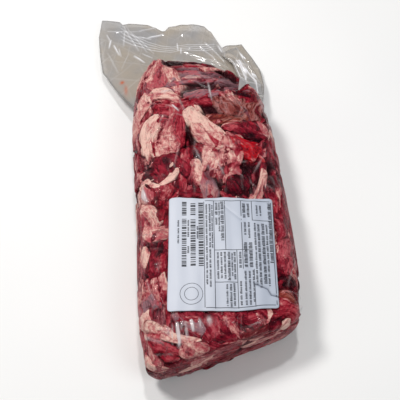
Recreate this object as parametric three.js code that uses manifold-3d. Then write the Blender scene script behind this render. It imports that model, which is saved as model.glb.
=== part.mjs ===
// A clear vacuum bag packed tight with raw boneless shank pieces. It lies flat, has a loose
// flap of film at one end and a paper label on top.
// Lengths are millimetres. X runs across the bag, Y along it towards the flap, Z up.
import * as THREE from 'three';
import Module from 'manifold-3d';

const wasm = await Module();
wasm.setup();

// The filled part: a box with rounded sides and ends, standing on a flat underside. Its ends
// are skewed, because the bag is longer on its left side.
const body = {
  halfLength: 169.5,
  halfWidth: 74.5,
  seamHeight: 27,
  rise: 33,
  drop: 30,
  sidePower: 3.4,
  bottomEndPower: 7,
  topEndPower: 3.6,
  bottomSkew: 0.26,
  topSkew: -0.4,
  bottomShift: -7,
  topShift: 3,
  bottomSpread: 0.05,
  meanRadius: 45,
};

// How far the pieces push the film out, how deep the film sinks between them, and how much of
// that is lost where the film is drawn over the two ends.
const relief = { crest: 5.5, crevice: 3, lostAtEnds: 0.6 };

const label = {
  width: 100,
  height: 114.5,
  centreX: 2.5,
  centreY: -82,
  turn: -5.4,
  thickness: 0.5,
  gap: 0.3,
  cornerRadius: 3,
  plateau: 2.4,
  wave: 0.9,
  flatMargin: 9,
  fadeWidth: 9,
};

// The loose film past the seal, from its root inside the filled part to its free edge.
const flap = {
  thickness: 1.6,
  rootHalfWidth: 66,
  rootLeftY: 119,
  rootRightY: 101,
  rootCrown: 48,
  leftX: -105,
  rightX: 66,
  leftBulge: 18,
  rightBulge: 20,
  freeHeight: 5.5,
  lowest: 1.3,
  broadWave: 3.2,
  fineWave: 2,
};

// The free edge of the flap as it was torn and folded: X, Y.
const freeEdge = [
  [-105, 279],
  [-80, 277],
  [-40, 271],
  [-27, 260],
  [-20, 267],
  [23, 258],
  [38, 220],
  [50, 226],
  [66, 230],
];

// The larger pieces that show on top: across, along, length, width, turn in degrees, rise.
const shownPieces = {
  gristlyEnd: [-55, 134, 54, 42, 88, 5],
  slabEdge: [-3, 156, 44, 20, 12, 3],
  silverskin: [22, 132, 50, 34, -6, 4],
  veiledMuscle: [-17, 116, 54, 24, 12, 3],
  amberMuscle: [41, 96, 60, 50, 8, 5.5],
  foldedMuscle: [-5, 95, 30, 22, 44, 2],
  cappedMuscle: [-45, 70, 76, 44, 86, 5.5],
  tendon: [-3, 66, 50, 22, -70, 5],
  ridge: [47, 69, 48, 16, 30, 3],
  brightPiece: [49, 34, 38, 26, -52, 5],
  marbledPiece: [15, 28, 36, 26, 78, 5],
  roundPiece: [34, -10, 28, 26, -44, 4],
  longMuscle: [67, -32, 130, 34, -88, 3],
  maroonPiece: [-45, 16, 32, 30, -68, 4],
  curvedMuscle: [-46, -18, 52, 22, 74, 5],
  foldedStrip: [-26, 10, 54, 16, 81, 4],
  pleatedPiece: [-2, -6, 30, 18, -86, 3],
  plumEdge: [-69, -47, 38, 20, -83, 3],
  crimsonPiece: [-53, -72, 34, 18, -86, 4],
  plumPiece: [-66, -88, 26, 20, -75, 3],
  palePiece: [-60, -120, 26, 20, -60, 4],
  fatStreak: [-53, -141, 44, 16, -43, 5],
  pleatMuscle: [-27, -145, 32, 22, -38, 4],
  lowCorner: [-60, -160, 30, 24, -60, 4],
  lowRed: [-6, -156, 34, 24, -51, 5],
  lowDark: [34, -160, 34, 22, -33, 4],
  creamCorner: [60, -150, 30, 22, -35, 5],
  redSide: [68, -88, 32, 26, -85, 4],
};

// The pieces that don't show lie in courses round the bag, like bricks.
const courses = { pitch: 34, pieceLength: 46, pieceWidth: 34, turnSpread: 50, riseSpread: 3 };

// How finely each surface is cut into triangles.
const grid = {
  around: 62,
  along: 62,
  flapAcross: 26,
  flapAlong: 12,
  labelAcross: 14,
  labelAlong: 10,
};

const paint = {
  bag: { color: 0x8c2a35, roughness: 0.3, metalness: 0 },
  label: { color: 0xdfe4ec, roughness: 0.6, metalness: 0 },
};

const signedPower = (value, power) => Math.sign(value) * Math.abs(value) ** power;
const lerp = (a, b, t) => a + (b - a) * t;

// Rises smoothly from 0 to 1 as value passes from low to high.
function smoothStep(low, high, value) {
  const t = Math.min(Math.max((value - low) / (high - low), 0), 1);
  return t * t * (3 - 2 * t);
}

// The value of a broken line of [x, y] points at x.
function alongLine(points, x) {
  const next = Math.max(1, points.findIndex(([pointX]) => pointX >= x));
  const [x0, y0] = points[next - 1];
  const [x1, y1] = points[next];
  return lerp(y0, y1, (x - x0) / (x1 - x0));
}

// Fractions that fill 0 to 1 evenly without repeating, so the same pieces come out each time.
const spread = (index, step) => (0.5 + index * step) % 1;

const endPower = (along) => (along < 0 ? body.bottomEndPower : body.topEndPower);
const upOrDown = (z) => (z < 0 ? body.drop : body.rise);

// How a section at some place along the straight form is skewed, shifted and spread.
function sectionChange(y) {
  const t = y / body.halfLength;
  const bottom = [body.bottomSkew, body.bottomShift, body.bottomSpread];
  const top = [body.topSkew, body.topShift, 0];
  return (t < 0 ? bottom : top).map((value) => value * t * t);
}

// From the straight form of the bag to its place.
function placed(point) {
  const [skew, shift, widening] = sectionChange(point.y);
  const x = point.x * (1 + widening) + shift;
  return new THREE.Vector3(x, point.y + skew * point.x, point.z + body.seamHeight);
}

// The point of the straight form's top that ends up over a place in plan.
function straightTop(planX, planY) {
  let x = planX;
  let y = planY;
  for (let step = 0; step < 12; step += 1) {
    const [skew, shift, widening] = sectionChange(y);
    x = (planX - shift) / (1 + widening);
    y = planY - skew * x;
  }
  return topPoint(x, y);
}

// The straight form's height above the seam at a place on its top.
function topPoint(x, y) {
  const end = 1 - Math.min(Math.abs(y) / body.halfLength, 1) ** endPower(y);
  const side = Math.min(Math.abs(x) / body.halfWidth, 1) ** body.sidePower;
  const room = end ** (body.sidePower / endPower(y)) - side;
  return new THREE.Vector3(x, y, body.rise * Math.max(room, 0) ** (1 / body.sidePower));
}

// A point of the straight form from its angle round the section and its angle along.
function formPoint(around, along) {
  const power = endPower(along);
  const ring = Math.max(Math.cos(along), 0) ** (2 / power);
  const x = body.halfWidth * signedPower(Math.cos(around), 2 / body.sidePower);
  const z = upOrDown(Math.sin(around)) * signedPower(Math.sin(around), 2 / body.sidePower);
  return new THREE.Vector3(ring * x, body.halfLength * signedPower(Math.sin(along), 2 / power), ring * z);
}

// The outward direction of the straight form, from the slope of its equation.
function outward(point) {
  const side = body.sidePower;
  const power = endPower(point.y);
  const height = upOrDown(point.z);
  const section = (Math.abs(point.x) / body.halfWidth) ** side + (Math.abs(point.z) / height) ** side;
  const scale = Math.max(section, 1e-9) ** (power / side - 1);
  return new THREE.Vector3(
    (scale * signedPower(point.x, side - 1)) / body.halfWidth ** side,
    signedPower(point.y, power - 1) / body.halfLength ** power,
    (scale * signedPower(point.z, side - 1)) / height ** side,
  ).normalize();
}

// Angles from first to last whose points are evenly spaced along a curve of the form.
function evenAngles(first, last, count, curve) {
  const samples = 2000;
  const lengths = [0];
  let previous = curve(first);
  for (let i = 1; i <= samples; i += 1) {
    const point = curve(lerp(first, last, i / samples));
    lengths.push(lengths[i - 1] + point.distanceTo(previous));
    previous = point;
  }
  const angles = [];
  let sample = 0;
  for (let k = 0; k <= count; k += 1) {
    const wanted = (lengths[samples] * k) / count;
    while (sample < samples - 1 && lengths[sample + 1] < wanted) sample += 1;
    const part = (wanted - lengths[sample]) / (lengths[sample + 1] - lengths[sample]);
    angles.push(lerp(first, last, (sample + part) / samples));
  }
  return angles;
}

const anglesAround = (count) => evenAngles(0, 2 * Math.PI, count, (angle) => formPoint(angle, 0));

// Along the bag the spacing is that of a mean profile, half way between its width and height.
function anglesAlong(count) {
  const profile = (angle) => {
    const power = endPower(angle);
    const y = body.halfLength * signedPower(Math.sin(angle), 2 / power);
    return new THREE.Vector2(y, body.meanRadius * Math.max(Math.cos(angle), 0) ** (2 / power));
  };
  return evenAngles(-Math.PI / 2, Math.PI / 2, count, profile);
}

// One piece of meat as an ellipsoid that lies under the film at a point of the form.
function pieceAt(point, length, width, turn, rise) {
  const normal = outward(point);
  const angle = THREE.MathUtils.degToRad(turn);
  const lean = 0.35 * Math.abs(normal.y);
  const tangent = new THREE.Vector3(Math.cos(angle), Math.sin(angle), lean);
  tangent.addScaledVector(normal, -tangent.dot(normal)).normalize();
  const depth = 0.45 * width;
  return {
    centre: point.clone().addScaledVector(normal, rise - depth),
    axes: [tangent, normal.clone().cross(tangent), normal],
    sizes: [0.58 * length, 0.58 * width, depth],
  };
}

// The courses of pieces all round the bag, each at its own turn and rise.
function coursePieces() {
  const pieces = [];
  const rows = Math.round((2 * (body.halfLength + body.meanRadius)) / courses.pitch);
  const girth = 2 * (2 * body.halfWidth + body.rise);
  const rowAngles = anglesAlong(2 * rows);
  for (let row = 0; row < rows; row += 1) {
    const along = rowAngles[2 * row + 1];
    const ring = Math.cos(along) ** (2 / endPower(along));
    const count = Math.max(3, Math.round((girth * ring) / courses.pitch));
    const angles = anglesAround(2 * count);
    for (let i = 0; i < count; i += 1) {
      const index = pieces.length;
      const point = formPoint(angles[2 * i + (row % 2)], along);
      const turn = 90 + courses.turnSpread * (spread(index, 0.618034) - 0.5);
      const rise = courses.riseSpread * spread(index, 0.754878);
      pieces.push(pieceAt(point, courses.pieceLength, courses.pieceWidth, turn, rise));
    }
  }
  return pieces;
}

const topPieces = Object.values(shownPieces).map(([across, along, length, width, turn, rise]) =>
  pieceAt(topPoint(across, along), length, width, turn, rise),
);
const allPieces = [...topPieces, ...coursePieces()];

// How far out along a direction a piece reaches from a point of the form.
function reach(piece, point, normal) {
  const offset = point.clone().sub(piece.centre);
  const o = piece.axes.map((axis, i) => offset.dot(axis) / piece.sizes[i]);
  const d = piece.axes.map((axis, i) => normal.dot(axis) / piece.sizes[i]);
  const a = d[0] ** 2 + d[1] ** 2 + d[2] ** 2;
  const b = o[0] * d[0] + o[1] * d[1] + o[2] * d[2];
  const c = o[0] ** 2 + o[1] ** 2 + o[2] ** 2 - 1;
  const inside = b * b - a * c;
  return inside < 0 ? -relief.crevice : (Math.sqrt(inside) - b) / a;
}

// A place in plan as the label sees it: across and along the paper from its centre.
function onLabel(x, y) {
  const angle = THREE.MathUtils.degToRad(label.turn);
  const dx = x - label.centreX;
  const dy = y - label.centreY;
  return [dx * Math.cos(angle) + dy * Math.sin(angle), dy * Math.cos(angle) - dx * Math.sin(angle)];
}

// The height of the slightly wavy film under the label.
function underLabel(u, v) {
  return label.plateau + label.wave * Math.sin(0.05 * u + 0.8) * Math.cos(0.045 * v - 0.5);
}

// 1 under the label and close round it, 0 away from it.
function labelShare(u, v) {
  const outside = Math.hypot(
    Math.max(Math.abs(u) - label.width / 2, 0),
    Math.max(Math.abs(v) - label.height / 2, 0),
  );
  return 1 - smoothStep(label.flatMargin, label.flatMargin + label.fadeWidth, outside);
}

// How far the film stands out from the straight form at a point.
function filmRelief(point, normal) {
  const reaches = allPieces.map((piece) => reach(piece, point, normal));
  const kept = 1 - relief.lostAtEnds * normal.y ** 2;
  const pushed = kept * Math.min(Math.max(-relief.crevice, ...reaches), relief.crest);
  if (point.z < 0) {
    return pushed;
  }
  const plan = placed(point);
  const [u, v] = onLabel(plan.x, plan.y);
  return lerp(pushed, underLabel(u, v), labelShare(u, v));
}

// The film over the pieces at two angles, flat where it lies on the ground.
function filmPoint(around, along) {
  const point = formPoint(around, along);
  const normal = outward(point);
  point.addScaledVector(normal, filmRelief(point, normal));
  const place = placed(point);
  place.z = Math.max(place.z, 0);
  return place;
}

// Points and triangles to a solid.
function solidOf(points, triangles) {
  const vertProperties = new Float32Array(points.flatMap((point) => point.toArray()));
  const mesh = new wasm.Mesh({ numProp: 3, vertProperties, triVerts: new Uint32Array(triangles.flat()) });
  return new wasm.Manifold(mesh);
}

// The filled part as a closed surface of rings between two end points.
function filledSolid() {
  const around = anglesAround(grid.around).slice(0, -1);
  const along = anglesAlong(grid.along).slice(1, -1);
  const points = along.flatMap((rowAngle) => around.map((angle) => filmPoint(angle, rowAngle)));
  const triangles = [];
  const at = (row, column) => row * around.length + (column % around.length);
  for (let row = 0; row + 1 < along.length; row += 1) {
    for (let column = 0; column < around.length; column += 1) {
      triangles.push([at(row, column), at(row + 1, column), at(row + 1, column + 1)]);
      triangles.push([at(row, column), at(row + 1, column + 1), at(row, column + 1)]);
    }
  }
  const bottomEnd = points.push(filmPoint(0, -Math.PI / 2)) - 1;
  const topEnd = points.push(filmPoint(0, Math.PI / 2)) - 1;
  for (let column = 0; column < around.length; column += 1) {
    triangles.push([bottomEnd, at(0, column), at(0, column + 1)]);
    triangles.push([topEnd, at(along.length - 1, column + 1), at(along.length - 1, column)]);
  }
  return solidOf(points, triangles);
}

// A thin sheet between an upper and a lower face, each a function of two fractions.
function sheetSolid(upper, lower, columns, rows) {
  const points = [];
  for (const face of [upper, lower]) {
    for (const v of rows) {
      for (const u of columns) points.push(face(u, v));
    }
  }
  const layer = columns.length * rows.length;
  const at = (row, column) => row * columns.length + column;
  const triangles = [];
  for (let row = 0; row + 1 < rows.length; row += 1) {
    for (let column = 0; column + 1 < columns.length; column += 1) {
      const corners = [at(row, column), at(row, column + 1), at(row + 1, column + 1), at(row + 1, column)];
      triangles.push([corners[0], corners[1], corners[2]], [corners[0], corners[2], corners[3]]);
      triangles.push(
        [corners[0] + layer, corners[2] + layer, corners[1] + layer],
        [corners[0] + layer, corners[3] + layer, corners[2] + layer],
      );
    }
  }
  for (const [a, b] of rimEdges(rows.length, columns.length, at)) {
    triangles.push([a, a + layer, b + layer], [a, b + layer, b]);
  }
  return solidOf(points, triangles);
}

// The edges round a grid of points, in the order of its upper face.
function rimEdges(rowCount, columnCount, at) {
  const loop = [];
  for (let column = 0; column < columnCount; column += 1) loop.push(at(0, column));
  for (let row = 1; row < rowCount; row += 1) loop.push(at(row, columnCount - 1));
  for (let column = columnCount - 2; column >= 0; column -= 1) loop.push(at(rowCount - 1, column));
  for (let row = rowCount - 2; row > 0; row -= 1) loop.push(at(row, 0));
  return loop.map((point, i) => [point, loop[(i + 1) % loop.length]]);
}

const evenFractions = (count) => Array.from({ length: count + 1 }, (_, i) => i / count);

// The middle of the flap's film. u runs from its left side to its right, v from root to edge.
function flapPoint(u, v) {
  const rootX = lerp(-flap.rootHalfWidth, flap.rootHalfWidth, u);
  const rootY = lerp(flap.rootLeftY, flap.rootRightY, u) + flap.rootCrown * Math.sin(Math.PI * u) ** 0.8;
  const edgeX = lerp(flap.leftX, flap.rightX, u);
  const edgeY = alongLine(freeEdge, edgeX);
  const side = u < 0.5 ? flap.leftBulge : flap.rightBulge;
  const bulge = side * (2 * u - 1) ** 5 * Math.sin(Math.PI * v ** 0.7);
  const fall = (body.seamHeight - flap.freeHeight) * (1 - v) ** 2.2;
  const broad = flap.broadWave * Math.sin(9.5 * u + 1.2);
  const fine = flap.fineWave * Math.sin(21 * u - 5 * v) * (1 - 0.3 * v);
  const height = Math.max(flap.freeHeight + fall + v * (broad + fine), flap.lowest);
  return new THREE.Vector3(lerp(rootX, edgeX, v) + bulge, lerp(rootY, edgeY, v), height);
}

function flapSolid() {
  const face = (side) => (u, v) => {
    const point = flapPoint(Math.min(Math.max(u, 0), 1), v);
    point.z += (side * flap.thickness) / 2;
    return point;
  };
  return sheetSolid(face(1), face(-1), evenFractions(grid.flapAcross), evenFractions(grid.flapAlong));
}

// Fractions along one side of the label, closer together at its rounded corners.
function labelFractions(length, count) {
  const corner = label.cornerRadius / length;
  const middle = evenFractions(count).map((t) => lerp(corner, 1 - corner, t));
  return [0, 0.25 * corner, ...middle, 1 - 0.25 * corner, 1];
}

// A point of the paper, raised over the film by some height.
function labelPoint(u, v, height) {
  const edge = Math.min(v, 1 - v) * label.height;
  const cut = Math.max(label.cornerRadius - edge, 0);
  const inset = label.cornerRadius - Math.sqrt(label.cornerRadius ** 2 - cut ** 2);
  const paperU = (2 * u - 1) * (label.width / 2 - inset);
  const paperV = (v - 0.5) * label.height;
  const angle = THREE.MathUtils.degToRad(label.turn);
  const planX = label.centreX + paperU * Math.cos(angle) - paperV * Math.sin(angle);
  const planY = label.centreY + paperU * Math.sin(angle) + paperV * Math.cos(angle);
  const point = straightTop(planX, planY);
  point.addScaledVector(outward(point), underLabel(paperU, paperV) + height);
  return placed(point);
}

function labelSolid() {
  const across = labelFractions(label.width, grid.labelAcross);
  const along = labelFractions(label.height, grid.labelAlong);
  const upper = (u, v) => labelPoint(u, v, label.gap + label.thickness);
  const lower = (u, v) => labelPoint(u, v, label.gap);
  return sheetSolid(upper, lower, across, along);
}

// A solid as a named mesh, moved so that the bag's box stands centred on the origin.
function meshOf(name, solid, centre) {
  const { vertProperties, triVerts } = solid.getMesh();
  const geometry = new THREE.BufferGeometry();
  geometry.setAttribute('position', new THREE.BufferAttribute(new Float32Array(vertProperties), 3));
  geometry.setIndex(new THREE.BufferAttribute(new Uint32Array(triVerts), 1));
  geometry.translate(-centre.x, -centre.y, 0);
  geometry.computeVertexNormals();
  const mesh = new THREE.Mesh(geometry, new THREE.MeshStandardMaterial(paint[name]));
  mesh.name = name;
  return mesh;
}

function vacuumPack() {
  const bag = filledSolid().add(flapSolid());
  const { min, max } = bag.boundingBox();
  const centre = { x: (min[0] + max[0]) / 2, y: (min[1] + max[1]) / 2 };
  const group = new THREE.Group();
  group.add(meshOf('bag', bag, centre), meshOf('label', labelSolid(), centre));
  return group;
}

export default vacuumPack();
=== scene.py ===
"""Looks for a clear vacuum bag packed tight with raw boneless shank pieces.

The bag lies flat with a paper label on top and a loose flap of sealed film at one end. The
meat is many separate pieces pressed against the film, the film is a skin drawn over them, and
the flap is two films that hang out past the seal. Shapes are worked out in millimetres on the
straight form of the bag, then skewed into place and written in metres.
"""

from __future__ import annotations

import logging
from dataclasses import dataclass, fields
from enum import Enum

import bpy
import numpy as np
from mathutils import Matrix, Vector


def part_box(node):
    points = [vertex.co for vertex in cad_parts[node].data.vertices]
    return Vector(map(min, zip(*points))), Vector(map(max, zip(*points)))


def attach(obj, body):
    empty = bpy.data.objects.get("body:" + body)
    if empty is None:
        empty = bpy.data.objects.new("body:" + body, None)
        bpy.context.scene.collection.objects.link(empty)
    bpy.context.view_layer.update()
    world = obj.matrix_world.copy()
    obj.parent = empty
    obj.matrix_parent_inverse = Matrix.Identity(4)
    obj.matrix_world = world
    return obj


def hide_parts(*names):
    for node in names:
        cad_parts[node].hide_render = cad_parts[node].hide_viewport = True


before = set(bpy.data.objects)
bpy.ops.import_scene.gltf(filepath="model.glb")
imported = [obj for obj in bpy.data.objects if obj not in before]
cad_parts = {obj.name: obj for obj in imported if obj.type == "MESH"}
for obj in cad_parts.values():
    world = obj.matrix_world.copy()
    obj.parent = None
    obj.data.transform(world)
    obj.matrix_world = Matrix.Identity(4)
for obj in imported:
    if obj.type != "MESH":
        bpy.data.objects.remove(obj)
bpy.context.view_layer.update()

log = logging.getLogger("shank_pack")
Array = np.ndarray
Object = bpy.types.Object
Pair = tuple[float, float]
Triple = tuple[float, float, float]
Quad = tuple[float, float, float, float]
MM = 0.001


def signed_power(value: Array, power: float | Array) -> Array:
    """Return value to a power with its sign kept."""
    return np.sign(value) * np.abs(value) ** power


def clip01(value: Array) -> Array:
    """Return value kept from 0 to 1."""
    return np.clip(value, 0.0, 1.0)


def smooth_step(low: float, high: float, value: Array) -> Array:
    """Return a smooth rise from 0 to 1 as value passes from low to high."""
    t = clip01((value - low) / (high - low))
    return t * t * (3.0 - 2.0 * t)


def spread(index: Array, step: float) -> Array:
    """Return fractions that fill 0 to 1 evenly without repeating: half plus index times step."""
    return (0.5 + index * step) % 1.0


def joined(*parts: Array | float) -> Array:
    """Return parts that broadcast to one shape, side by side along a new last axis."""
    return np.stack(np.broadcast_arrays(*parts), axis=-1)


def sheet_grid(low: float, high: float, columns: int, rows: int) -> list[Array]:
    """Return the two coordinates of a grid of points, each running from low to high."""
    return np.meshgrid(np.linspace(low, high, columns), np.linspace(low, high, rows))


def from_line(x: Array, y: Array, start: tuple, end: tuple) -> tuple[Array, Array]:
    """Work out where places in plan lie beside a straight line.

    Args:
        x: millimetres across.
        y: millimetres along.
        start: where the line starts.
        end: where it ends.

    Returns:
        How far each place is from the line, and the share of its run that it lies at, which
        is below 0 or above 1 past its ends.
    """
    run = np.array(end) - np.array(start)
    t = ((x - start[0]) * run[0] + (y - start[1]) * run[1]) / np.dot(run, run)
    near = clip01(t)
    return np.hypot(x - start[0] - near * run[0], y - start[1] - near * run[1]), t


def lattice(cell: Array, seed: int) -> Array:
    """Return a fixed random number from -1 to 1 for each whole-numbered cell of space.

    Args:
        cell: whole coordinates, with the last axis of length 3.
        seed: which field of numbers.

    Returns:
        The hash of each cell, one number a cell.
    """
    mask = 0xFFFFFFFF
    h = (cell[..., 0] * 374761393 + cell[..., 1] * 668265263 + cell[..., 2] * 1440662683) & mask
    h = (h + seed * 1274126177) & mask
    h = ((h ^ (h >> 13)) * 1274126177) & mask
    h = ((h ^ (h >> 15)) * 461845907) & mask
    return ((h >> 8) & 0xFFFF) / 32767.5 - 1.0


def noise(points: Array, size: float | Array, seed: int) -> Array:
    """Return smooth noise from -1 to 1 whose bumps are about size across.

    The value is the lattice numbers of the eight cells round a point, mixed by a smooth
    step along each axis.

    Args:
        points: places in millimetres, with the last axis of length 3.
        size: the width of a bump, one number or one for each axis.
        seed: which field of numbers.

    Returns:
        One number a point.
    """
    scaled = points / size
    cell = np.floor(scaled).astype(np.int64)
    t = scaled - cell
    t = t * t * (3.0 - 2.0 * t)
    total = np.zeros(points.shape[:-1])
    for corner in np.ndindex(2, 2, 2):
        weight = np.prod(np.where(np.array(corner) == 1, t, 1.0 - t), axis=-1)
        total += weight * lattice(cell + np.array(corner), seed)
    return total


@dataclass(frozen=True)
class BagForm:
    """The straight form of the filled bag, a box with rounded sides and ends.

    A point lies on it where ((|x|/w)^p + (|z|/h)^p)^(q/p) + (|y|/l)^q is 1, with p the power
    of the sides and q that of the ends. Each section is then skewed, shifted and spread.
    """

    half_length: float = 169.5
    half_width: float = 74.5
    seam_height: float = 27.0
    rise: float = 33.0
    drop: float = 30.0
    side_power: float = 3.4
    bottom_power: float = 7.0
    top_power: float = 3.6
    bottom_change: Triple = (0.26, -7.0, 0.05)
    top_change: Triple = (-0.4, 3.0, 0.0)
    mean_radius: float = 45.0
    origin: Pair = (0.0, 0.0)
    ground_gap: float = 0.05
    plan_steps: int = 12
    table_points: int = 6001

    def end_power(self, along: Array) -> Array:
        """Return the power of the end that a place along the bag belongs to."""
        return np.where(along < 0, self.bottom_power, self.top_power)

    def up_or_down(self, z: Array) -> Array:
        """Return the form's half height above or below the seam."""
        return np.where(z < 0, self.drop, self.rise)

    def section_change(self, y: Array) -> tuple[Array, Array, Array]:
        """Return the skew, shift and spread of the sections at y: each end's, times t squared."""
        t = y / self.half_length
        pairs = zip(self.bottom_change, self.top_change)
        skew, shift, widening = (np.where(t < 0, low, high) * t * t for low, high in pairs)
        return skew, shift, widening

    def placed(self, points: Array) -> Array:
        """Return points of the straight form in the frame, in metres, none below the ground."""
        skew, shift, widening = self.section_change(points[..., 1])
        x = points[..., 0] * (1.0 + widening) + shift + self.origin[0]
        y = points[..., 1] + skew * points[..., 0] + self.origin[1]
        z = np.maximum(points[..., 2] + self.seam_height, self.ground_gap)
        return joined(x, y, z) * MM

    def straight_plan(self, x: Array, y: Array) -> tuple[Array, Array]:
        """Return where on the straight form a place in plan comes from, by repeated steps."""
        straight_x, straight_y = x, y
        for _ in range(self.plan_steps):
            skew, shift, widening = self.section_change(straight_y)
            straight_x = (x - shift) / (1.0 + widening)
            straight_y = y - skew * straight_x
        return straight_x, straight_y

    def top_point(self, x: Array, y: Array) -> Array:
        """Return the points of the form's top over straight places x and y."""
        power = self.end_power(y)
        end = 1.0 - np.minimum(np.abs(y) / self.half_length, 1.0) ** power
        side = np.minimum(np.abs(x) / self.half_width, 1.0) ** self.side_power
        room = np.maximum(end ** (self.side_power / power) - side, 0.0)
        return joined(x, y, self.rise * room ** (1.0 / self.side_power))

    def form_point(self, around: Array, along: Array) -> Array:
        """Return form points from the angle round the section and the angle along the bag."""
        power = self.end_power(along)
        ring = np.maximum(np.cos(along), 0.0) ** (2.0 / power)
        x = self.half_width * signed_power(np.cos(around), 2.0 / self.side_power)
        z = self.up_or_down(np.sin(around)) * signed_power(np.sin(around), 2.0 / self.side_power)
        y = self.half_length * signed_power(np.sin(along), 2.0 / power)
        return joined(ring * x, y, ring * z)

    def slope(self, points: Array) -> tuple[Array, Array, Array]:
        """Return the parts of the form's equation and its slope at some points.

        Args:
            points: places near the form, with the last axis of length 3.

        Returns:
            The section term, the sum of the equation and the direction in which it grows.
        """
        x, y, z = points[..., 0], points[..., 1], points[..., 2]
        side, power, height = self.side_power, self.end_power(y), self.up_or_down(z)
        section = (np.abs(x) / self.half_width) ** side + (np.abs(z) / height) ** side
        total = section ** (power / side) + (np.abs(y) / self.half_length) ** power
        scale = np.maximum(section, 1e-9) ** (power / side - 1.0)
        grows = joined(
            scale * signed_power(x, side - 1.0) / self.half_width**side,
            signed_power(y, power - 1.0) / self.half_length**power,
            scale * signed_power(z, side - 1.0) / height**side,
        )
        return section, np.maximum(total, 1e-9), grows

    def outward(self, points: Array) -> Array:
        """Return the outward direction of the form at some points."""
        grows = self.slope(points)[2]
        return grows / np.linalg.norm(grows, axis=-1, keepdims=True)

    def height_over(self, points: Array) -> Array:
        """Return how far points lie outside the form, from its equation and its slope."""
        _, total, grows = self.slope(points)
        power = self.end_power(points[..., 1])
        steepness = total ** (1.0 / power - 1.0) * np.linalg.norm(grows, axis=-1)
        return (total ** (1.0 / power) - 1.0) / np.maximum(steepness, 1e-9)

    def angles_of(self, points: Array) -> tuple[Array, Array]:
        """Return the two angles of the form point that lies under each point."""
        section, _, _ = self.slope(points)
        side, power = self.side_power, self.end_power(points[..., 1])
        height = self.up_or_down(points[..., 2])
        across = signed_power(points[..., 0] / self.half_width, side / 2.0)
        around = np.arctan2(signed_power(points[..., 2] / height, side / 2.0), across)
        ring = section ** (power / (2.0 * side))
        along = np.arctan2(signed_power(points[..., 1] / self.half_length, power / 2.0), ring)
        return around % (2.0 * np.pi), along

    def table_around(self) -> tuple[Array, Array]:
        """Return angles round the section and the share of its girth passed at each."""
        angles = np.linspace(0.0, 2.0 * np.pi, self.table_points)
        return angles, girth_share(self.form_point(angles, np.zeros_like(angles)))

    def table_along(self) -> tuple[Array, Array]:
        """Return angles along the bag and the share of a mean profile passed at each."""
        angles = np.linspace(-np.pi / 2.0, np.pi / 2.0, self.table_points)
        power = self.end_power(angles)
        y = self.half_length * signed_power(np.sin(angles), 2.0 / power)
        radius = self.mean_radius * np.maximum(np.cos(angles), 0.0) ** (2.0 / power)
        return angles, girth_share(joined(y, radius))

    def even_around(self, fractions: Array) -> Array:
        """Return the angles round the section at shares of its girth."""
        angles, shares = self.table_around()
        return np.interp(fractions % 1.0, shares, angles)

    def even_along(self, fractions: Array) -> Array:
        """Return the angles along the bag at shares of its profile."""
        angles, shares = self.table_along()
        return np.interp(fractions, shares, angles)


def girth_share(line: Array) -> Array:
    """Return the share of a line's length that is passed at each of its points."""
    steps = np.linalg.norm(np.diff(line, axis=0), axis=-1)
    lengths = np.concatenate([[0.0], np.cumsum(steps)])
    return lengths / lengths[-1]


@dataclass(frozen=True)
class LabelPlace:
    """Where the label lies and how the film runs under it."""

    width: float = 100.0
    height: float = 116.5
    centre: Pair = (2.5, -82.0)
    moved_up: float = 1.6
    turn: float = np.radians(-5.4)
    corner_radius: float = 3.0
    plateau: float = 2.4
    wave: float = 0.9
    wave_pitch: Pair = (0.05, 0.045)
    upright_wave: float = 0.3
    upright_pitch: float = 0.42
    flat_margin: float = 1.0
    fade_width: float = 9.0
    creases: tuple[tuple[Pair, ...], ...] = (
        ((4, 48), (12, 41), (19, 34)),
        ((30, -33), (41, -38.5), (44, -45), (51, -47)),
    )
    crease_strengths: Pair = (0.5, 1.0)
    crease_depth: float = 1.2
    crease_width: float = 1.2

    def on_paper(self, x: Array, y: Array) -> tuple[Array, Array]:
        """Return places in plan as the paper sees them, across and along from its centre."""
        dx, dy = x - self.centre[0], y - self.centre[1] - self.moved_up
        cos, sin = np.cos(self.turn), np.sin(self.turn)
        return dx * cos + dy * sin, dy * cos - dx * sin

    def in_plan(self, u: Array, v: Array) -> tuple[Array, Array]:
        """Return the places in plan of points across and along the paper."""
        cos, sin = np.cos(self.turn), np.sin(self.turn)
        middle = self.centre[1] + self.moved_up
        return self.centre[0] + u * cos - v * sin, middle + u * sin + v * cos

    def crease(self, u: Array, v: Array) -> Array:
        """Return how deep in a crease places on the paper are, from 0 to 1."""
        depth = np.zeros(np.shape(u))
        for line, strength in zip(self.creases, self.crease_strengths):
            for start, end in zip(line[:-1], line[1:]):
                away, _ = from_line(u, v, start, end)
                depth = np.maximum(depth, strength * np.exp(-((away / self.crease_width) ** 2)))
        return depth

    def under_label(self, u: Array, v: Array) -> Array:
        """Return the height of the wavy film under the paper: crossed waves less its creases."""
        pitch_u, pitch_v = self.wave_pitch
        broad = self.wave * np.sin(pitch_u * u + 0.8) * np.cos(pitch_v * v - 0.5)
        upright = self.upright_wave * np.sin(self.upright_pitch * u + 0.6 * np.sin(0.05 * v))
        return self.plateau + broad + upright - self.crease_depth * self.crease(u, v)

    def share(self, u: Array, v: Array) -> Array:
        """Return 1 under the paper, falling to 0 a little way outside it."""
        outside = np.hypot(
            np.maximum(np.abs(u) - self.width / 2.0, 0.0),
            np.maximum(np.abs(v) - self.height / 2.0, 0.0),
        )
        return 1.0 - smooth_step(self.flat_margin, self.flat_margin + self.fade_width, outside)


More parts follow.
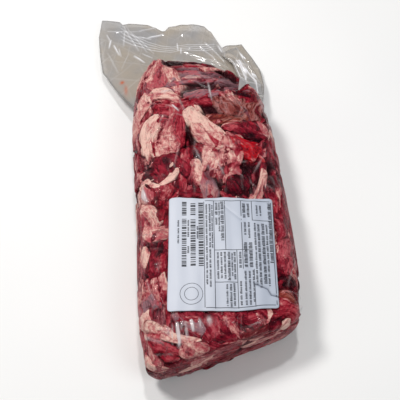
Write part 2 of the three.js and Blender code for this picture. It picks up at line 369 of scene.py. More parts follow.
class Tissue(Enum):
    """What a piece mostly is: lean tone, fat cover, veil, amber and brightness, about 0 to 1."""

    RED = (0.50, 0.04, 0.0, 0.0, 0.0)
    CRIMSON = (0.56, 0.0, 0.0, 0.0, 0.12)
    MAROON = (0.36, -0.2, 0.0, 0.0, 0.0)
    DARK = (0.20, -0.4, 0.0, 0.0, 0.0)
    SALMON = (0.84, 0.36, 0.0, 0.1, 0.0)
    PINK = (0.92, 0.46, 0.0, 0.0, 0.0)
    PALE = (0.92, 0.70, 0.0, 0.0, 0.0)
    CREAM = (0.90, 0.88, 0.0, 0.0, 0.0)
    MARBLED = (0.66, 0.40, 0.0, 0.0, 0.0)
    STREAKED = (0.56, 0.30, 0.0, 0.0, 0.0)
    AMBER = (0.62, -0.1, 0.0, 0.95, 0.0)
    VEILED = (0.50, 0.10, 1.5, 0.0, 0.0)
    WINE = (0.44, -0.25, 0.1, 0.0, 0.0)
    PLUM = (0.44, 0.0, 0.6, 0.0, 0.0)
    VIVID = (0.60, 0.0, 0.0, 0.0, 1.0)
    BROWN = (0.24, -0.1, 0.0, 0.35, 0.0)
    DUSKY = (0.84, 0.22, 1.3, 0.0, 0.0)
    RUSSET = (0.62, -0.08, 0.5, 1.0, 0.0)


@dataclass(frozen=True)
class Piece:
    """One piece that shows on top, in millimetres on the straight form.

    across and along are its middle, turn is degrees from across towards along, rise is how
    far it pushes the film out. fat_side and fat_end say which side and end its fat lies on.
    bend bows it sideways by a share of its length, taper narrows one end, and tilt leans it.
    """

    name: str
    across: float
    along: float
    length: float
    width: float
    turn: float
    rise: float
    tissue: Tissue
    fat_side: float = 0.0
    fat_end: float = 0.0
    bend: float = 0.0
    taper: float = 0.0
    tilt: float = 0.0


def pieces_of(*rows: tuple) -> tuple[Piece, ...]:
    """Return pieces from rows of their fields in order, each with its tissue by name."""
    return tuple(Piece(*row[:7], Tissue[row[7]], *row[8:]) for row in rows)


SHOWN_PIECES = pieces_of(
    ("gristly_end", -55, 134, 52, 34, 86, 6.8, "PINK", 0.3, 0.2),
    ("gristly_red", -41, 138, 40, 14, 84, 4.5, "PLUM"),
    ("violet_knob", -64, 112, 40, 24, -88, 4.5, "PLUM", -0.2, 0.3),
    ("slab_edge", -3, 158, 42, 10, 12, 5.0, "DARK"),
    ("slab_red", -1, 153, 40, 8, 14, 4.5, "CRIMSON"),
    ("rose_slab", -12, 144, 44, 16, 12, 4.5, "DUSKY", 0.2),
    ("silverskin", 22, 134, 54, 26, -4, 4.5, "VEILED", 0.3),
    ("silver_lip", 34, 118, 32, 12, -8, 4.0, "DARK"),
    ("veiled_muscle", -20, 119, 56, 20, 12, 5.0, "DUSKY", 0.3),
    ("pale_band", -6, 129, 46, 9, 14, 5.5, "DUSKY", 0.4),
    ("pale_knob", -24, 114, 18, 12, -60, 5.5, "SALMON", 0.4),
    ("mauve_fold", 4, 111, 36, 13, 20, 5.0, "DUSKY", 0.2),
    ("folded_muscle", -6, 99, 36, 24, 30, 5.0, "CRIMSON", 0.3),
    ("folded_left", -20, 96, 26, 18, -50, 4.0, "RED"),
    ("fat_flake", 22, 116, 25, 14, -47, 4.5, "SALMON", 0.5),
    ("amber_muscle", 29, 95, 38, 28, 82, 7.6, "RUSSET", 0.1, 0.7),
    ("amber_second", 51, 99, 38, 28, 76, 7.0, "RUSSET", 0.1, 0.6),
    ("amber_lip", 36, 79, 44, 12, 14, 6.0, "AMBER", -0.2),
    ("russet_edge", 64, 104, 44, 18, -72, 4.5, "BROWN", 0.2),
    ("cap_rim", -41, 99, 50, 12, 3, 9.4, "PINK", 0.3, 0.0, -0.36),
    ("cap_dome", -37, 85, 40, 20, -8, 9.6, "CRIMSON", 0.1),
    ("cream_slab", -56, 53, 48, 19, 86, 7.4, "PALE", 0.5),
    ("mottled_muscle", -43, 54, 42, 20, 84, 7.2, "MARBLED", 0.3),
    ("red_stripe", -29, 60, 56, 13, 88, 6.6, "CRIMSON", 0.3),
    ("tendon_top", -8, 79, 22, 20, -66, 6.5, "CREAM"),
    ("tendon_body", 0, 60, 42, 20, -64, 6.8, "PALE", 0.2, -0.3, 0.0, 0.0, 4.0),
    ("tendon_tail", 16, 52, 26, 13, -40, 4.0, "SALMON", 0.3),
    ("left_edge", -71, 66, 50, 20, -87, 3.5, "PLUM", 0.3),
    ("ridge", 46, 70, 42, 9, 26, 5.0, "CRIMSON", 0.3),
    ("pink_knob", 62, 64, 20, 14, -80, 5.0, "SALMON", 0.4),
    ("right_maroon", 46, 56, 36, 18, -30, 4.0, "MAROON", 0.3),
    ("marbled_piece", 18, 31, 48, 32, 72, 7.8, "MARBLED", 0.4),
    ("cream_streak", 27, 13, 34, 15, 74, 5.0, "SALMON", 0.5, 0.2),
    ("bright_piece", 40, 38, 34, 22, -40, 8.0, "VIVID"),
    ("bright_tail", 53, 28, 28, 18, -60, 7.4, "VIVID", 0.4),
    ("round_piece", 34, -8, 29, 26, -44, 6.8, "DARK"),
    ("tendon_strip", 50, -8, 38, 8, 66, 6.5, "PALE", 0.2),
    ("long_muscle", 68, -24, 124, 26, -89, 6.0, "WINE", 0.1),
    ("right_upper", 71, 46, 50, 12, -84, 3.0, "WINE"),
    ("left_red", -66, 35, 25, 17, -76, 4.5, "RED", 0.5),
    ("maroon_piece", -44, 20, 40, 34, -66, 6.4, "MAROON"),
    ("cream_band", -49, 6, 38, 10, 28, 9.0, "CREAM", 0.2, 0.0, 0.1),
    ("curved_muscle", -46, -16, 50, 20, 72, 6.5, "CRIMSON", 0.2),
    ("left_low_edge", -71, 22, 36, 20, -83, 3.0, "CRIMSON"),
    ("folded_strip", -26, 12, 56, 13, 81, 5.5, "CRIMSON", 0.3),
    ("thin_strip", -20, 34, 40, 9, 80, 5.0, "CRIMSON", 0.3),
    ("salmon_piece", -13, 7, 34, 20, -86, 6.6, "SALMON", 0.4),
    ("pleated_piece", -1, -2, 34, 15, -80, 5.0, "DUSKY", 0.1),
    # dark_middle and dark_strip are dark pieces set low, in the gap in the middle and along the label's
    # top edge; their dark colour is partly painted shade
    ("dark_middle", -6, 26, 26, 16, -68, 2.5, "DARK"),
    ("dark_strip", -16, -16, 40, 9, -5, 3.0, "MAROON"),
    ("red_wedge", 16, 0, 24, 12, -84, 4.0, "CRIMSON", 0.3),
    ("low_wedge", 24, -20, 30, 12, -24, 4.0, "CRIMSON"),
    ("pale_streaks", -62, -6, 36, 15, -86, 5.5, "PINK", 0.4),
    ("cream_patch", -62, -33, 30, 18, -52, 6.0, "PALE", 0.6),
    ("plum_edge", -70, -46, 38, 16, -83, 3.5, "PLUM"),
    ("salmon_bar", -56, -50, 26, 12, -6, 6.0, "PINK", 0.3),
    ("crimson_piece", -52, -72, 36, 16, -86, 4.5, "CRIMSON"),
    ("amber_fat", -66, -71, 24, 16, -66, 5.5, "PALE", 0.7),
    ("plum_piece", -66, -88, 24, 18, -75, 4.5, "PLUM"),
    ("mottled_low", -53, -98, 32, 14, -86, 5.0, "STREAKED", 0.3),
    ("rosy_edge", -72, -106, 28, 16, 81, 4.5, "RED", 0.4),
    ("cream_stripe", -62, -104, 26, 8, 72, 5.5, "SALMON", 0.3),
    ("salmon_plain", -61, -121, 22, 20, -61, 4.5, "DUSKY", 0.2),
    ("plum_pink", -56, -128, 34, 16, -80, 5.0, "PLUM", 0.3),
    ("fat_streak", -48, -143, 50, 9, -28, 8.5, "PALE", 0.2, 0.0, 0.1, -0.3),
    ("fat_root", -66, -130, 22, 12, -60, 6.0, "PALE", 0.3),
    ("pleat_muscle", -32, -141, 36, 20, -52, 5.5, "VEILED", 0.2),
    ("pleat_second", -14, -142, 36, 22, -60, 5.0, "RED"),
    ("crimson_low", -65, -152, 32, 18, -76, 5.0, "SALMON", 0.3),
    ("low_streak", -60, -162, 26, 8, -60, 5.0, "SALMON", 0.4),
    ("maroon_low", -50, -168, 26, 20, -50, 5.5, "MAROON"),
    ("crimson_bar", -48, -155, 38, 15, -28, 6.0, "CRIMSON", 0.3),
    ("fold_orange", -27, -161, 22, 13, -50, 7.0, "SALMON", 0.3),
    ("pale_crescent", -22, -170, 38, 12, 12, 8.0, "PALE", 0.2, 0.0, 0.2),
    ("corner_dull", -68, -170, 24, 18, -48, 5.0, "MAROON", 0.4),
    ("low_red", -8, -156, 38, 24, -51, 6.0, "RED"),
    ("low_second", 12, -154, 36, 24, -50, 5.5, "CRIMSON", 0.1),
    ("ember_fold", 2, -168, 32, 14, -34, 6.0, "RED", 0.1),
    ("violet_low", -2, -174, 26, 14, -20, 4.0, "CRIMSON"),
    ("shadow_end", 24, -168, 34, 20, -16, 6.5, "BROWN", 0.2),
    ("right_low", 34, -160, 38, 22, -33, 5.5, "MAROON"),
    ("olive_knob", 38, -150, 16, 11, -45, 7.0, "SALMON", 0.4),
    ("below_label", 20, -148, 34, 12, -8, 4.5, "CRIMSON", 0.2),
    ("cream_corner", 60, -154, 34, 18, -31, 8.0, "CRIMSON", 0.4),
    ("sinew_eye", 58, -161, 15, 11, 30, 10.5, "CREAM"),
    ("red_corner", 58, -166, 36, 22, -20, 8.0, "MAROON", 0.3),
    ("amber_corner", 62, -146, 28, 16, -29, 5.5, "AMBER", 0.4),
    ("salmon_side", 65, -62, 20, 11, -69, 5.0, "SALMON", 0.3),
    ("red_side", 68, -86, 40, 22, -85, 4.0, "WINE", 0.3),
    ("pale_side", 68, -108, 24, 16, -60, 4.5, "RUSSET", 0.4),
    ("dark_side", 68, -128, 26, 20, -50, 3.5, "DARK"),
)


@dataclass
class Lumps:
    """Many pieces as ellipsoids that lie under the film, one row for each piece."""

    centre: Array
    axes: Array
    sizes: Array
    look: Array
    bias: Array
    shape: Array

    def part(self, rows: Array) -> "Lumps":
        """Return the lumps of some rows."""
        return Lumps(*(getattr(self, f.name)[rows] for f in fields(self)))


HALF_LENGTH_SHARE = 0.59
HALF_WIDTH_SHARE = 0.64
DEPTH_SHARE = 0.55
DEEPEST = (9.0, 0.12)
CLIMB_AT_ENDS = 0.35


def lay_lumps(
    form: BagForm,
    points: Array,
    size: Array,
    turn: Array,
    rise: Array,
    look: Array,
    bias: Array,
    shape: Array,
) -> Lumps:
    """Lay rounded blocks under the film at points of the form.

    Each one's long axis is its turn brought flat against the form, its third axis is the
    form's outward direction leaned by its tilt, and its middle lies so deep that its crest
    stands out by rise.

    Args:
        form: the bag's straight form.
        points: where the pieces lie.
        size: length and width of each.
        turn: degrees from across towards along.
        rise: how far each stands out.
        look: the tissue numbers of each.
        bias: which side and end its fat lies on.
        shape: the bend, taper and tilt of each.

    Returns:
        The lumps.
    """
    normal = form.outward(points)
    angle = np.radians(turn)
    tangent = joined(np.cos(angle), np.sin(angle), CLIMB_AT_ENDS * np.abs(normal[:, 1]))
    tangent -= np.sum(tangent * normal, axis=-1, keepdims=True) * normal
    tangent /= np.linalg.norm(tangent, axis=-1, keepdims=True)
    aside = np.cross(normal, tangent)
    tilt = np.radians(shape[:, 2:3])
    leaned = normal * np.cos(tilt) + aside * np.sin(tilt)
    depth = np.minimum(DEPTH_SHARE * size[:, 1], DEEPEST[0] + DEEPEST[1] * size[:, 1])
    centre = points + normal * (rise - depth)[:, None]
    axes = np.stack([tangent, np.cross(leaned, tangent), leaned], axis=1)
    sizes = joined(HALF_LENGTH_SHARE * size[:, 0], HALF_WIDTH_SHARE * size[:, 1], depth)
    return Lumps(centre, axes, sizes, look, bias, shape)


@dataclass
class MeatLayout:
    """Where every piece of meat lies: those that show on top, and courses round the rest."""

    form: BagForm
    label: LabelPlace
    pitch: float = 34.0
    piece_length: float = 46.0
    piece_width: float = 34.0
    turn_spread: float = 50.0
    rise_spread: float = 3.0
    sunk: float = 0.4
    sunk_ends: float = 2.0
    crest: float = 6.2
    crevice: float = 3.0
    lost_at_ends: float = 0.6
    lost_low: float = 2.0
    lost_at_left: float = 2.5
    lost_at_right: float = 2.0
    softness: float = 5.5
    corners: tuple[Quad, ...] = (
        (72.0, -164.0, 20.0, 6.5),
        (-70.0, -168.0, 14.0, 4.0),
    )
    press_steps: int = 4
    # painted shade: courses on the lower end and on the right side are made darker and leaner, where
    # less light falls
    end_shade_tone: float = 0.24
    end_fat: float = 0.52
    right_shade_tone: float = 0.14
    right_shade_fat: float = 0.3
    variety: Triple = (0.12, 0.3, 9.0)
    seed: int = 5
    mixture: tuple[Tissue, ...] = (
        Tissue.CRIMSON, Tissue.RED, Tissue.STREAKED, Tissue.MAROON, Tissue.RED, Tissue.MARBLED,
        Tissue.CRIMSON, Tissue.SALMON, Tissue.RED, Tissue.PLUM, Tissue.CRIMSON, Tissue.PINK,
        Tissue.MAROON,
    )

    def shown(self) -> Lumps:
        """Return the pieces that show on top."""
        rows = SHOWN_PIECES
        across = np.array([p.across for p in rows], float)
        along = np.array([p.along for p in rows], float)
        return lay_lumps(
            self.form,
            self.form.top_point(across, along),
            np.array([[p.length, p.width] for p in rows]),
            np.array([p.turn for p in rows]),
            np.array([p.rise for p in rows]),
            np.array([p.tissue.value for p in rows]),
            np.array([[p.fat_side, p.fat_end] for p in rows]),
            np.array([[p.bend, p.taper, p.tilt] for p in rows]) + self.unlike(len(rows)),
        )

    def unlike(self, count: int) -> Array:
        """Return a seeded small bend, taper and tilt for each of some pieces."""
        random = np.random.default_rng(self.seed + count)
        return random.uniform(-1.0, 1.0, (count, 3)) * np.array(self.variety)

    def courses(self) -> Lumps:
        """Return courses of pieces all round the bag, like bricks, each at its own turn."""
        form = self.form
        rows = round(2.0 * (form.half_length + form.mean_radius) / self.pitch)
        girth = 2.0 * (2.0 * form.half_width + form.rise)
        along = form.even_along((2.0 * np.arange(rows) + 1.0) / (2.0 * rows))
        ring = np.cos(along) ** (2.0 / form.end_power(along))
        counts = np.maximum(3, np.round(girth * ring / self.pitch)).astype(int)
        row = np.repeat(np.arange(rows), counts)
        place = np.concatenate([np.arange(count) for count in counts])
        around = form.even_around((2.0 * place + row % 2) / (2.0 * counts[row]))
        index = np.arange(len(row))
        kinds = np.array([t.value for t in self.mixture])
        tissue = kinds[(index * 5 + row * 3) % len(kinds)]
        size = np.array([self.piece_length, self.piece_width])
        size = size * (0.9 + 0.2 * spread(index, 0.569840)[:, None])
        points = form.form_point(around, along[row])
        normal = form.outward(points)
        behind = self.sunk * smooth_step(0.3, 0.8, normal[:, 2])
        behind += self.sunk_ends * smooth_step(0.3, 0.8, np.abs(normal[:, 1]))
        # painted shade on the lower end's face and on the right side
        lower_end_shade = smooth_step(0.3, 0.8, -normal[:, 1])
        right = smooth_step(0.4, 0.8, normal[:, 0])
        tissue[:, 0] -= lower_end_shade * self.end_shade_tone
        tissue[:, 1] -= lower_end_shade * self.end_fat
        tissue[:, 0] -= right * self.right_shade_tone
        tissue[:, 1] -= right * self.right_shade_fat
        return lay_lumps(
            form,
            points,
            size,
            90.0 + self.turn_spread * (spread(index, 0.618034) - 0.5),
            self.rise_spread * spread(index, 0.754878) - behind,
            tissue,
            joined(spread(index, 0.414214) - 0.3, spread(index, 0.732051) - 0.5),
            self.unlike(len(row)),
        )

    def ceiling(self, points: Array, normals: Array) -> Array:
        """Return how high above the form the film can stand at points of it."""
        x, y = points[..., 0], points[..., 1]
        skew, shift, widening = self.form.section_change(y)
        u, v = self.label.on_paper(x * (1.0 + widening) + shift, y + skew * x)
        share = self.label.share(u, v) * (points[..., 2] > 0)
        free = self.crest * (1.0 - self.lost_at_ends * normals[..., 1] ** 2)
        free -= self.lost_low * smooth_step(-128.0, -145.0, y)
        free -= self.lost_at_left * smooth_step(-0.35, -0.8, normals[..., 0])
        free -= self.lost_at_right * smooth_step(0.35, 0.8, normals[..., 0])
        for corner_x, corner_y, reach, extra in self.corners:
            free += extra * np.exp(-(((x - corner_x) ** 2 + (y - corner_y) ** 2) / reach**2))
        return free + (self.label.under_label(u, v) - free) * share

    def pressed(self, points: Array, clearance: float) -> Array:
        """Return points pressed in under the film.

        A point that stands out further than the ceiling less the softness is brought back
        along the form's outward direction, by a hyperbolic tangent that never passes it. The
        move is made in a few steps, since the direction turns on the way.

        Args:
            points: places near the form.
            clearance: how far under the film they stay.

        Returns:
            The points, moved.
        """
        normal = self.form.outward(points)
        height = self.form.height_over(points)
        knee = self.ceiling(points, normal) - clearance - self.softness
        bent = knee + self.softness * np.tanh((height - knee) / self.softness)
        wanted = np.where(height > knee, bent, height)
        for _ in range(self.press_steps):
            points = points + (wanted - height)[..., None] * normal
            normal = self.form.outward(points)
            height = self.form.height_over(points)
            limit = self.ceiling(points, normal) - clearance
            wanted = np.minimum(wanted, limit)
            wanted = np.where(height > wanted, wanted, height)
        return points


def make_object(name: str, vertices: Array, faces: list, smooth: bool = True) -> Object:
    """Return a linked mesh object from points in metres and lists of corners."""
    mesh = bpy.data.meshes.new(name)
    mesh.from_pydata(vertices.reshape(-1, 3).tolist(), [], faces)
    mesh.polygons.foreach_set("use_smooth", [smooth] * len(mesh.polygons))
    mesh.update()
    piece = bpy.data.objects.new(name, mesh)
    bpy.context.scene.collection.objects.link(piece)
    return piece


def add_numbers(piece: Object, name: str, values: Array) -> None:
    """Store one number or one vector a point on a piece, for its material to read."""
    values = np.asarray(values, np.float32)
    vector = values.ndim > 1 and values.shape[-1] == 3
    kind = "FLOAT_VECTOR" if vector else "FLOAT"
    attribute = piece.data.attributes.new(name, kind, "POINT")
    attribute.data.foreach_set("vector" if vector else "value", values.reshape(-1))


def thicken(piece: Object, name: str, thickness: float, offset: float) -> None:
    """Make a sheet a closed solid, thickened both ways at offset 0 and outwards at 1."""
    wall = piece.modifiers.new(name, "SOLIDIFY")
    wall.thickness = thickness * MM
    wall.offset = offset


def tube_faces(rows: int, columns: int, start: int = 0) -> list:
    """Return the faces of a closed surface of rings with a point at each end.

    The rings' points come first, row by row, then the first end's point and the last's.

    Args:
        rows: how many rings.
        columns: points in a ring.
        start: the number of the first point.

    Returns:
        Lists of corners, with faces pointing out where the rings turn right-handed about
        the way that the rows run.
    """
    row, column = np.meshgrid(np.arange(rows - 1), np.arange(columns), indexing="ij")
    after = (column + 1) % columns
    a, b = row * columns + column, row * columns + after
    quads = joined(a, b, b + columns, a + columns).reshape(-1, 4) + start
    first, last = start + rows * columns, start + rows * columns + 1
    ring = np.arange(columns)
    turned = (ring + 1) % columns
    low = joined(first, turned + start, ring + start)
    top = start + (rows - 1) * columns
    high = joined(last, ring + top, turned + top)
    return quads.tolist() + low.tolist() + high.tolist()


def sheet_faces(rows: int, columns: int) -> list:
    """Return the faces of an open grid of points, row by row."""
    row, column = np.meshgrid(np.arange(rows - 1), np.arange(columns - 1), indexing="ij")
    a = row * columns + column
    return joined(a, a + 1, a + columns + 1, a + columns).reshape(-1, 4).tolist()


@dataclass
class MeatPieces:
    """The meat: each piece a closed uneven lump, pressed flat where it meets the film."""

    layout: MeatLayout
    clearance: float = 0.5
    lobes: float = 0.22
    lobe_size: float = 14.0
    ripples: float = 0.08
    ripple_size: float = 5.0
    folds: float = 2.7
    fold_size: Triple = (30.0, 9.0, 9.0)
    fold_bend: Pair = (13.0, 4.0)
    strands: float = 1.6
    strand_size: Triple = (38.0, 4.0, 4.0)
    knobs: float = 1.4
    knob_size: float = 6.0
    creases: float = 1.5
    # painted light and shade from the folds and from the depth under the film
    fold_shade_and_light: Pair = (0.34, 0.34)
    edge_shade: Pair = (0.16, 0.4)
    edge_depths: Pair = (1.2, 5.5)
    edge_mean: float = 0.4
    drift_size: Triple = (24.0, 9.0, 9.0)
    fat_drift: float = 0.3
    side_fat: float = 0.55
    end_fat: float = 0.4
    tone_drift: float = 0.12
    tone_size: float = 11.0
    core_depth: float = 9.0
    core_grid: tuple[int, int] = (60, 96)
    powers: Triple = (3.0, 3.6, 3.4)
    warps: tuple[Pair, ...] = ((30.0, 6.5), (11.0, 2.4))
    free_width: float = 14.0
    least_warp: float = 0.35

    def warped(self, points: Array) -> Array:
        """Return points pushed about by smooth noise that all the pieces share."""
        for number, (size, amount) in enumerate(self.warps):
            push = [noise(points, size, 60 + 3 * number + axis) for axis in range(3)]
            points = points + amount * joined(*push)
        return points

    def rounded(
        self, lumps: Lumps, rows: int, columns: int, seed: int
    ) -> tuple[Array, Array, Array]:
        """Work out the lumps' surfaces.

        A lump is a pole-to-pole block with rounded sides about its long axis: |a|^p + r^p is
        1 along it and |b|^q + |c|^s is 1 round it. It is tapered, bowed and swelled by noise
        of two sizes, then warped together with all its neighbours. The result is
        pressed in under the film and creased along its folds.

        Args:
            lumps: the pieces.
            rows: rings in each piece.
            columns: points in each ring.
            seed: which noise.

        Returns:
            The points on the straight form, the same points along each lump's own axes, and
            how far each is in a fold or on a crest.
        """
        lift = np.linspace(0.0, np.pi, rows + 2)[1:-1]
        round_ = np.linspace(0.0, 2.0 * np.pi, columns, endpoint=False)
        lift_grid, round_grid = np.meshgrid(lift, round_, indexing="ij")
        ring = np.sin(lift_grid) ** (2.0 / self.powers[0])
        unit = joined(
            -signed_power(np.cos(lift_grid), 2.0 / self.powers[0]),
            ring * signed_power(np.cos(round_grid), 2.0 / self.powers[1]),
            ring * signed_power(np.sin(round_grid), 2.0 / self.powers[2]),
        ).reshape(-1, 3)
        unit = np.concatenate([unit, [[-1.0, 0.0, 0.0], [1.0, 0.0, 0.0]]])
        own = unit[None] * lumps.sizes[:, None]
        apart = np.arange(len(lumps.sizes))[:, None, None] * 37.0
        swell = 1.0 + self.lobes * noise(own + apart, self.lobe_size, seed)
        swell += self.ripples * noise(own + apart, self.ripple_size, seed + 1)
        bend, taper, _ = np.moveaxis(lumps.shape, -1, 0)
        narrowed = swell[..., None] * (1.0 + taper[:, None, None] * unit[None, :, :1])
        own = own * np.concatenate([swell[..., None], narrowed, narrowed], axis=-1)
        own[..., 1] += (bend * lumps.sizes[:, 0])[:, None] * 2.0 * (unit[None, :, 0] ** 2 - 0.4)
        height, fold = self.relief(own + apart, lumps.look[:, None, 1], seed + 4)
        own[..., 2] += height
        world = lumps.centre[:, None] + np.einsum("nvk,nkj->nvj", own, lumps.axes)
        drift = self.warped(lumps.centre) - lumps.centre
        share = np.clip(lumps.sizes[:, 1] / self.free_width, self.least_warp, 1.0)[:, None, None]
        world = world + share * (self.warped(world) - world - drift[:, None])
        points = self.layout.pressed(world, self.clearance)
        dent = self.creases * (0.5 - fold) ** 2
        points = points - dent[..., None] * self.layout.form.outward(points)
        return points, own, fold

    def relief(self, own: Array, fat: Array, seed: int) -> tuple[Array, Array]:
        """Return the folds of the meat, with strands along lean pieces and knobs on fat ones.

        A fold is the distance of bent noise from 0, so that it has sharp valleys between
        rounded crests.

        Args:
            own: places along each piece's own axes.
            fat: how fat each piece is.
            seed: which noise.

        Returns:
            Heights in millimetres, and the folds from -0.5 in a valley to 0.5 on a crest.
        """
        bend_size, bend = self.fold_bend
        push = [noise(own, bend_size, seed + 2 + axis) for axis in range(3)]
        bent = own + bend * joined(*push)
        fold = np.abs(noise(bent, np.array(self.fold_size), seed + 5)) * 2.4
        fold = np.minimum(fold, 1.0) - 0.5
        strand = 0.35 - np.abs(noise(own, np.array(self.strand_size), seed))
        knob = noise(bent, self.knob_size, seed + 1)
        lean = 1.0 - clip01(fat)
        height = self.folds * fold + self.strands * strand * lean + self.knobs * knob * (1.0 - lean)
        return height, fold

    def make(
        self, name: str, lumps: Lumps, rows: int, columns: int, seed: int
    ) -> tuple[Object, Array]:
        """Build some pieces as one mesh and store what their material reads.

        Args:
            name: the piece's name.
            lumps: the pieces of meat.
            rows: rings in each.
            columns: points in each ring.
            seed: which noise.

        Returns:
            The object, and its points on the straight form.
        """
        points, own, fold = self.rounded(lumps, rows, columns, seed)
        form, each = self.layout.form, points.shape[1]
        faces = [f for i in range(len(points)) for f in tube_faces(rows, columns, i * each)]
        piece = make_object(name, form.placed(points), faces)
        look, bias = lumps.look[:, None, :], lumps.bias[:, None, :]
        grain = own + np.arange(len(points))[:, None, None] * 53.0
        share = own / lumps.sizes[:, None]
        drift = noise(grain, np.array(self.drift_size), seed + 2)
        fat = look[..., 1] + self.fat_drift * drift + self.side_fat * bias[..., 0] * share[..., 1]
        fat = fat + self.end_fat * bias[..., 1] * share[..., 0]
        tone = look[..., 0] + self.tone_drift * noise(grain, self.tone_size, seed + 3)
        # painted light and shade: fold crests lighter, valleys darker, and meat darker the deeper it
        # lies under the film; the depth also goes to the material for its painted crevice shade
        depth = self.layout.ceiling(points, form.outward(points)) - form.height_over(points)
        under = smooth_step(*self.edge_depths, depth) - self.edge_mean
        fat = fat + self.fold_shade_and_light[0] * fold - self.edge_shade[0] * under
        tone = tone + self.fold_shade_and_light[1] * fold - self.edge_shade[1] * under
        add_numbers(piece, "flesh", joined(fat, tone, look[..., 2]))
        add_numbers(piece, "accent", joined(look[..., 3], look[..., 4], depth / 10.0))
        add_numbers(piece, "grain", grain)
        return piece, points.reshape(-1, 3)

    def make_core(self) -> Object:
        """Build the middle's meat: the form brought in by the core depth, in painted crevice shade."""
        form = self.layout.form
        rows, columns = self.core_grid
        along = form.even_along(np.linspace(0.0, 1.0, rows + 2))
        around = form.even_around(np.arange(columns) / columns)
        grid = form.form_point(around[None, :], along[1:-1, None]).reshape(-1, 3)
        ends = np.array([[0.0, -form.half_length, 0.0], [0.0, form.half_length, 0.0]])
        points = np.concatenate([grid, ends])
        points = points - self.core_depth * form.outward(points)
        piece = make_object("meat_core", form.placed(points), tube_faces(rows, columns))
        level = np.ones(len(points))
        add_numbers(piece, "flesh", joined(0.02 * level, 0.2, 0.0))
        # a depth of 6 mm makes the material paint the core almost wholly in crevice shade
        add_numbers(piece, "accent", joined(0.0, 0.0, 0.6 * level))
        add_numbers(piece, "grain", points)
        return piece


@dataclass
class FilmSkin:
    """The film drawn tight over the meat, from the height that the meat reaches under it."""

    layout: MeatLayout
    rows: int = 292
    columns: int = 300
    gap: float = 0.35
    label_gap: float = 0.15
    bridge_cells: int = 2

    def cells_of(self, points: Array) -> tuple[Array, Array]:
        """Return the row and column of the film's grid that each point lies under."""
        around, along = self.layout.form.angles_of(points)
        around_angles, around_shares = self.layout.form.table_around()
        along_angles, along_shares = self.layout.form.table_along()
        column = np.interp(around, around_angles, around_shares) * self.columns
        row = np.interp(along, along_angles, along_shares) * (self.rows + 1) - 1.0
        return row, column

    def heights(self, meat: Array) -> Array:
        """Return the height of the meat under each point of the film.

        Args:
            meat: all the meat's points on the straight form.

        Returns:
            A grid of heights, each the highest meat point near it.
        """
        row, column = self.cells_of(meat)
        height = self.layout.form.height_over(meat)
        grid = np.full((self.rows, self.columns), -self.layout.crevice - 3.0)
        for row_step, column_step in np.ndindex(2, 2):
            r = np.clip(np.floor(row).astype(int) + row_step, 0, self.rows - 1)
            c = (np.floor(column).astype(int) + column_step) % self.columns
            np.maximum.at(grid, (r, c), height)
        return grid

    def slid(self, grid: Array, rows: int, columns: int) -> Array:
        """Return the grid moved by some rows, with its ends kept, and columns, all round."""
        index = np.clip(np.arange(self.rows) + rows, 0, self.rows - 1)
        return np.roll(grid[index], columns, axis=1)

    def spread_out(self, grid: Array, reach: int, sign: float) -> Array:
        """Return the highest, or with sign -1 the lowest, of the grid within some cells."""
        steps = range(-reach, reach + 1)
        best = np.max([sign * self.slid(grid, step, 0) for step in steps], axis=0)
        return sign * np.max([self.slid(best, 0, step) for step in steps], axis=0)

    def blurred(self, grid: Array, times: int) -> Array:
        """Return the grid after some rounds of a quarter, half, quarter average each way."""
        for _ in range(times):
            grid = 0.5 * grid + 0.25 * (self.slid(grid, 1, 0) + self.slid(grid, -1, 0))
            grid = 0.5 * grid + 0.25 * (self.slid(grid, 0, 1) + self.slid(grid, 0, -1))
        return grid

    def drawn_over(self, meat: Array) -> Array:
        """Return the film's heights: the meat's, bridged over narrow gaps and smoothed."""
        low = self.heights(meat)
        bridged = self.spread_out(low, self.bridge_cells, 1.0)
        bridged = self.spread_out(bridged, self.bridge_cells, -1.0)
        return np.maximum(self.blurred(bridged, 2), self.blurred(low, 1)) + self.gap


@dataclass(frozen=True)
class Pleat:
    """A fold of film that stands up from one place in plan to another, in millimetres."""

    start: Pair
    end: Pair
    height: float
    width: float
    # how white the fold is: milky film, and where strong a painted glint
    haze_and_glint: float = 0.4


def pleats_of(*rows: tuple) -> tuple[Pleat, ...]:
    """Return pleats from rows of their start, end, height, width and haze."""
    return tuple(Pleat(*row) for row in rows)


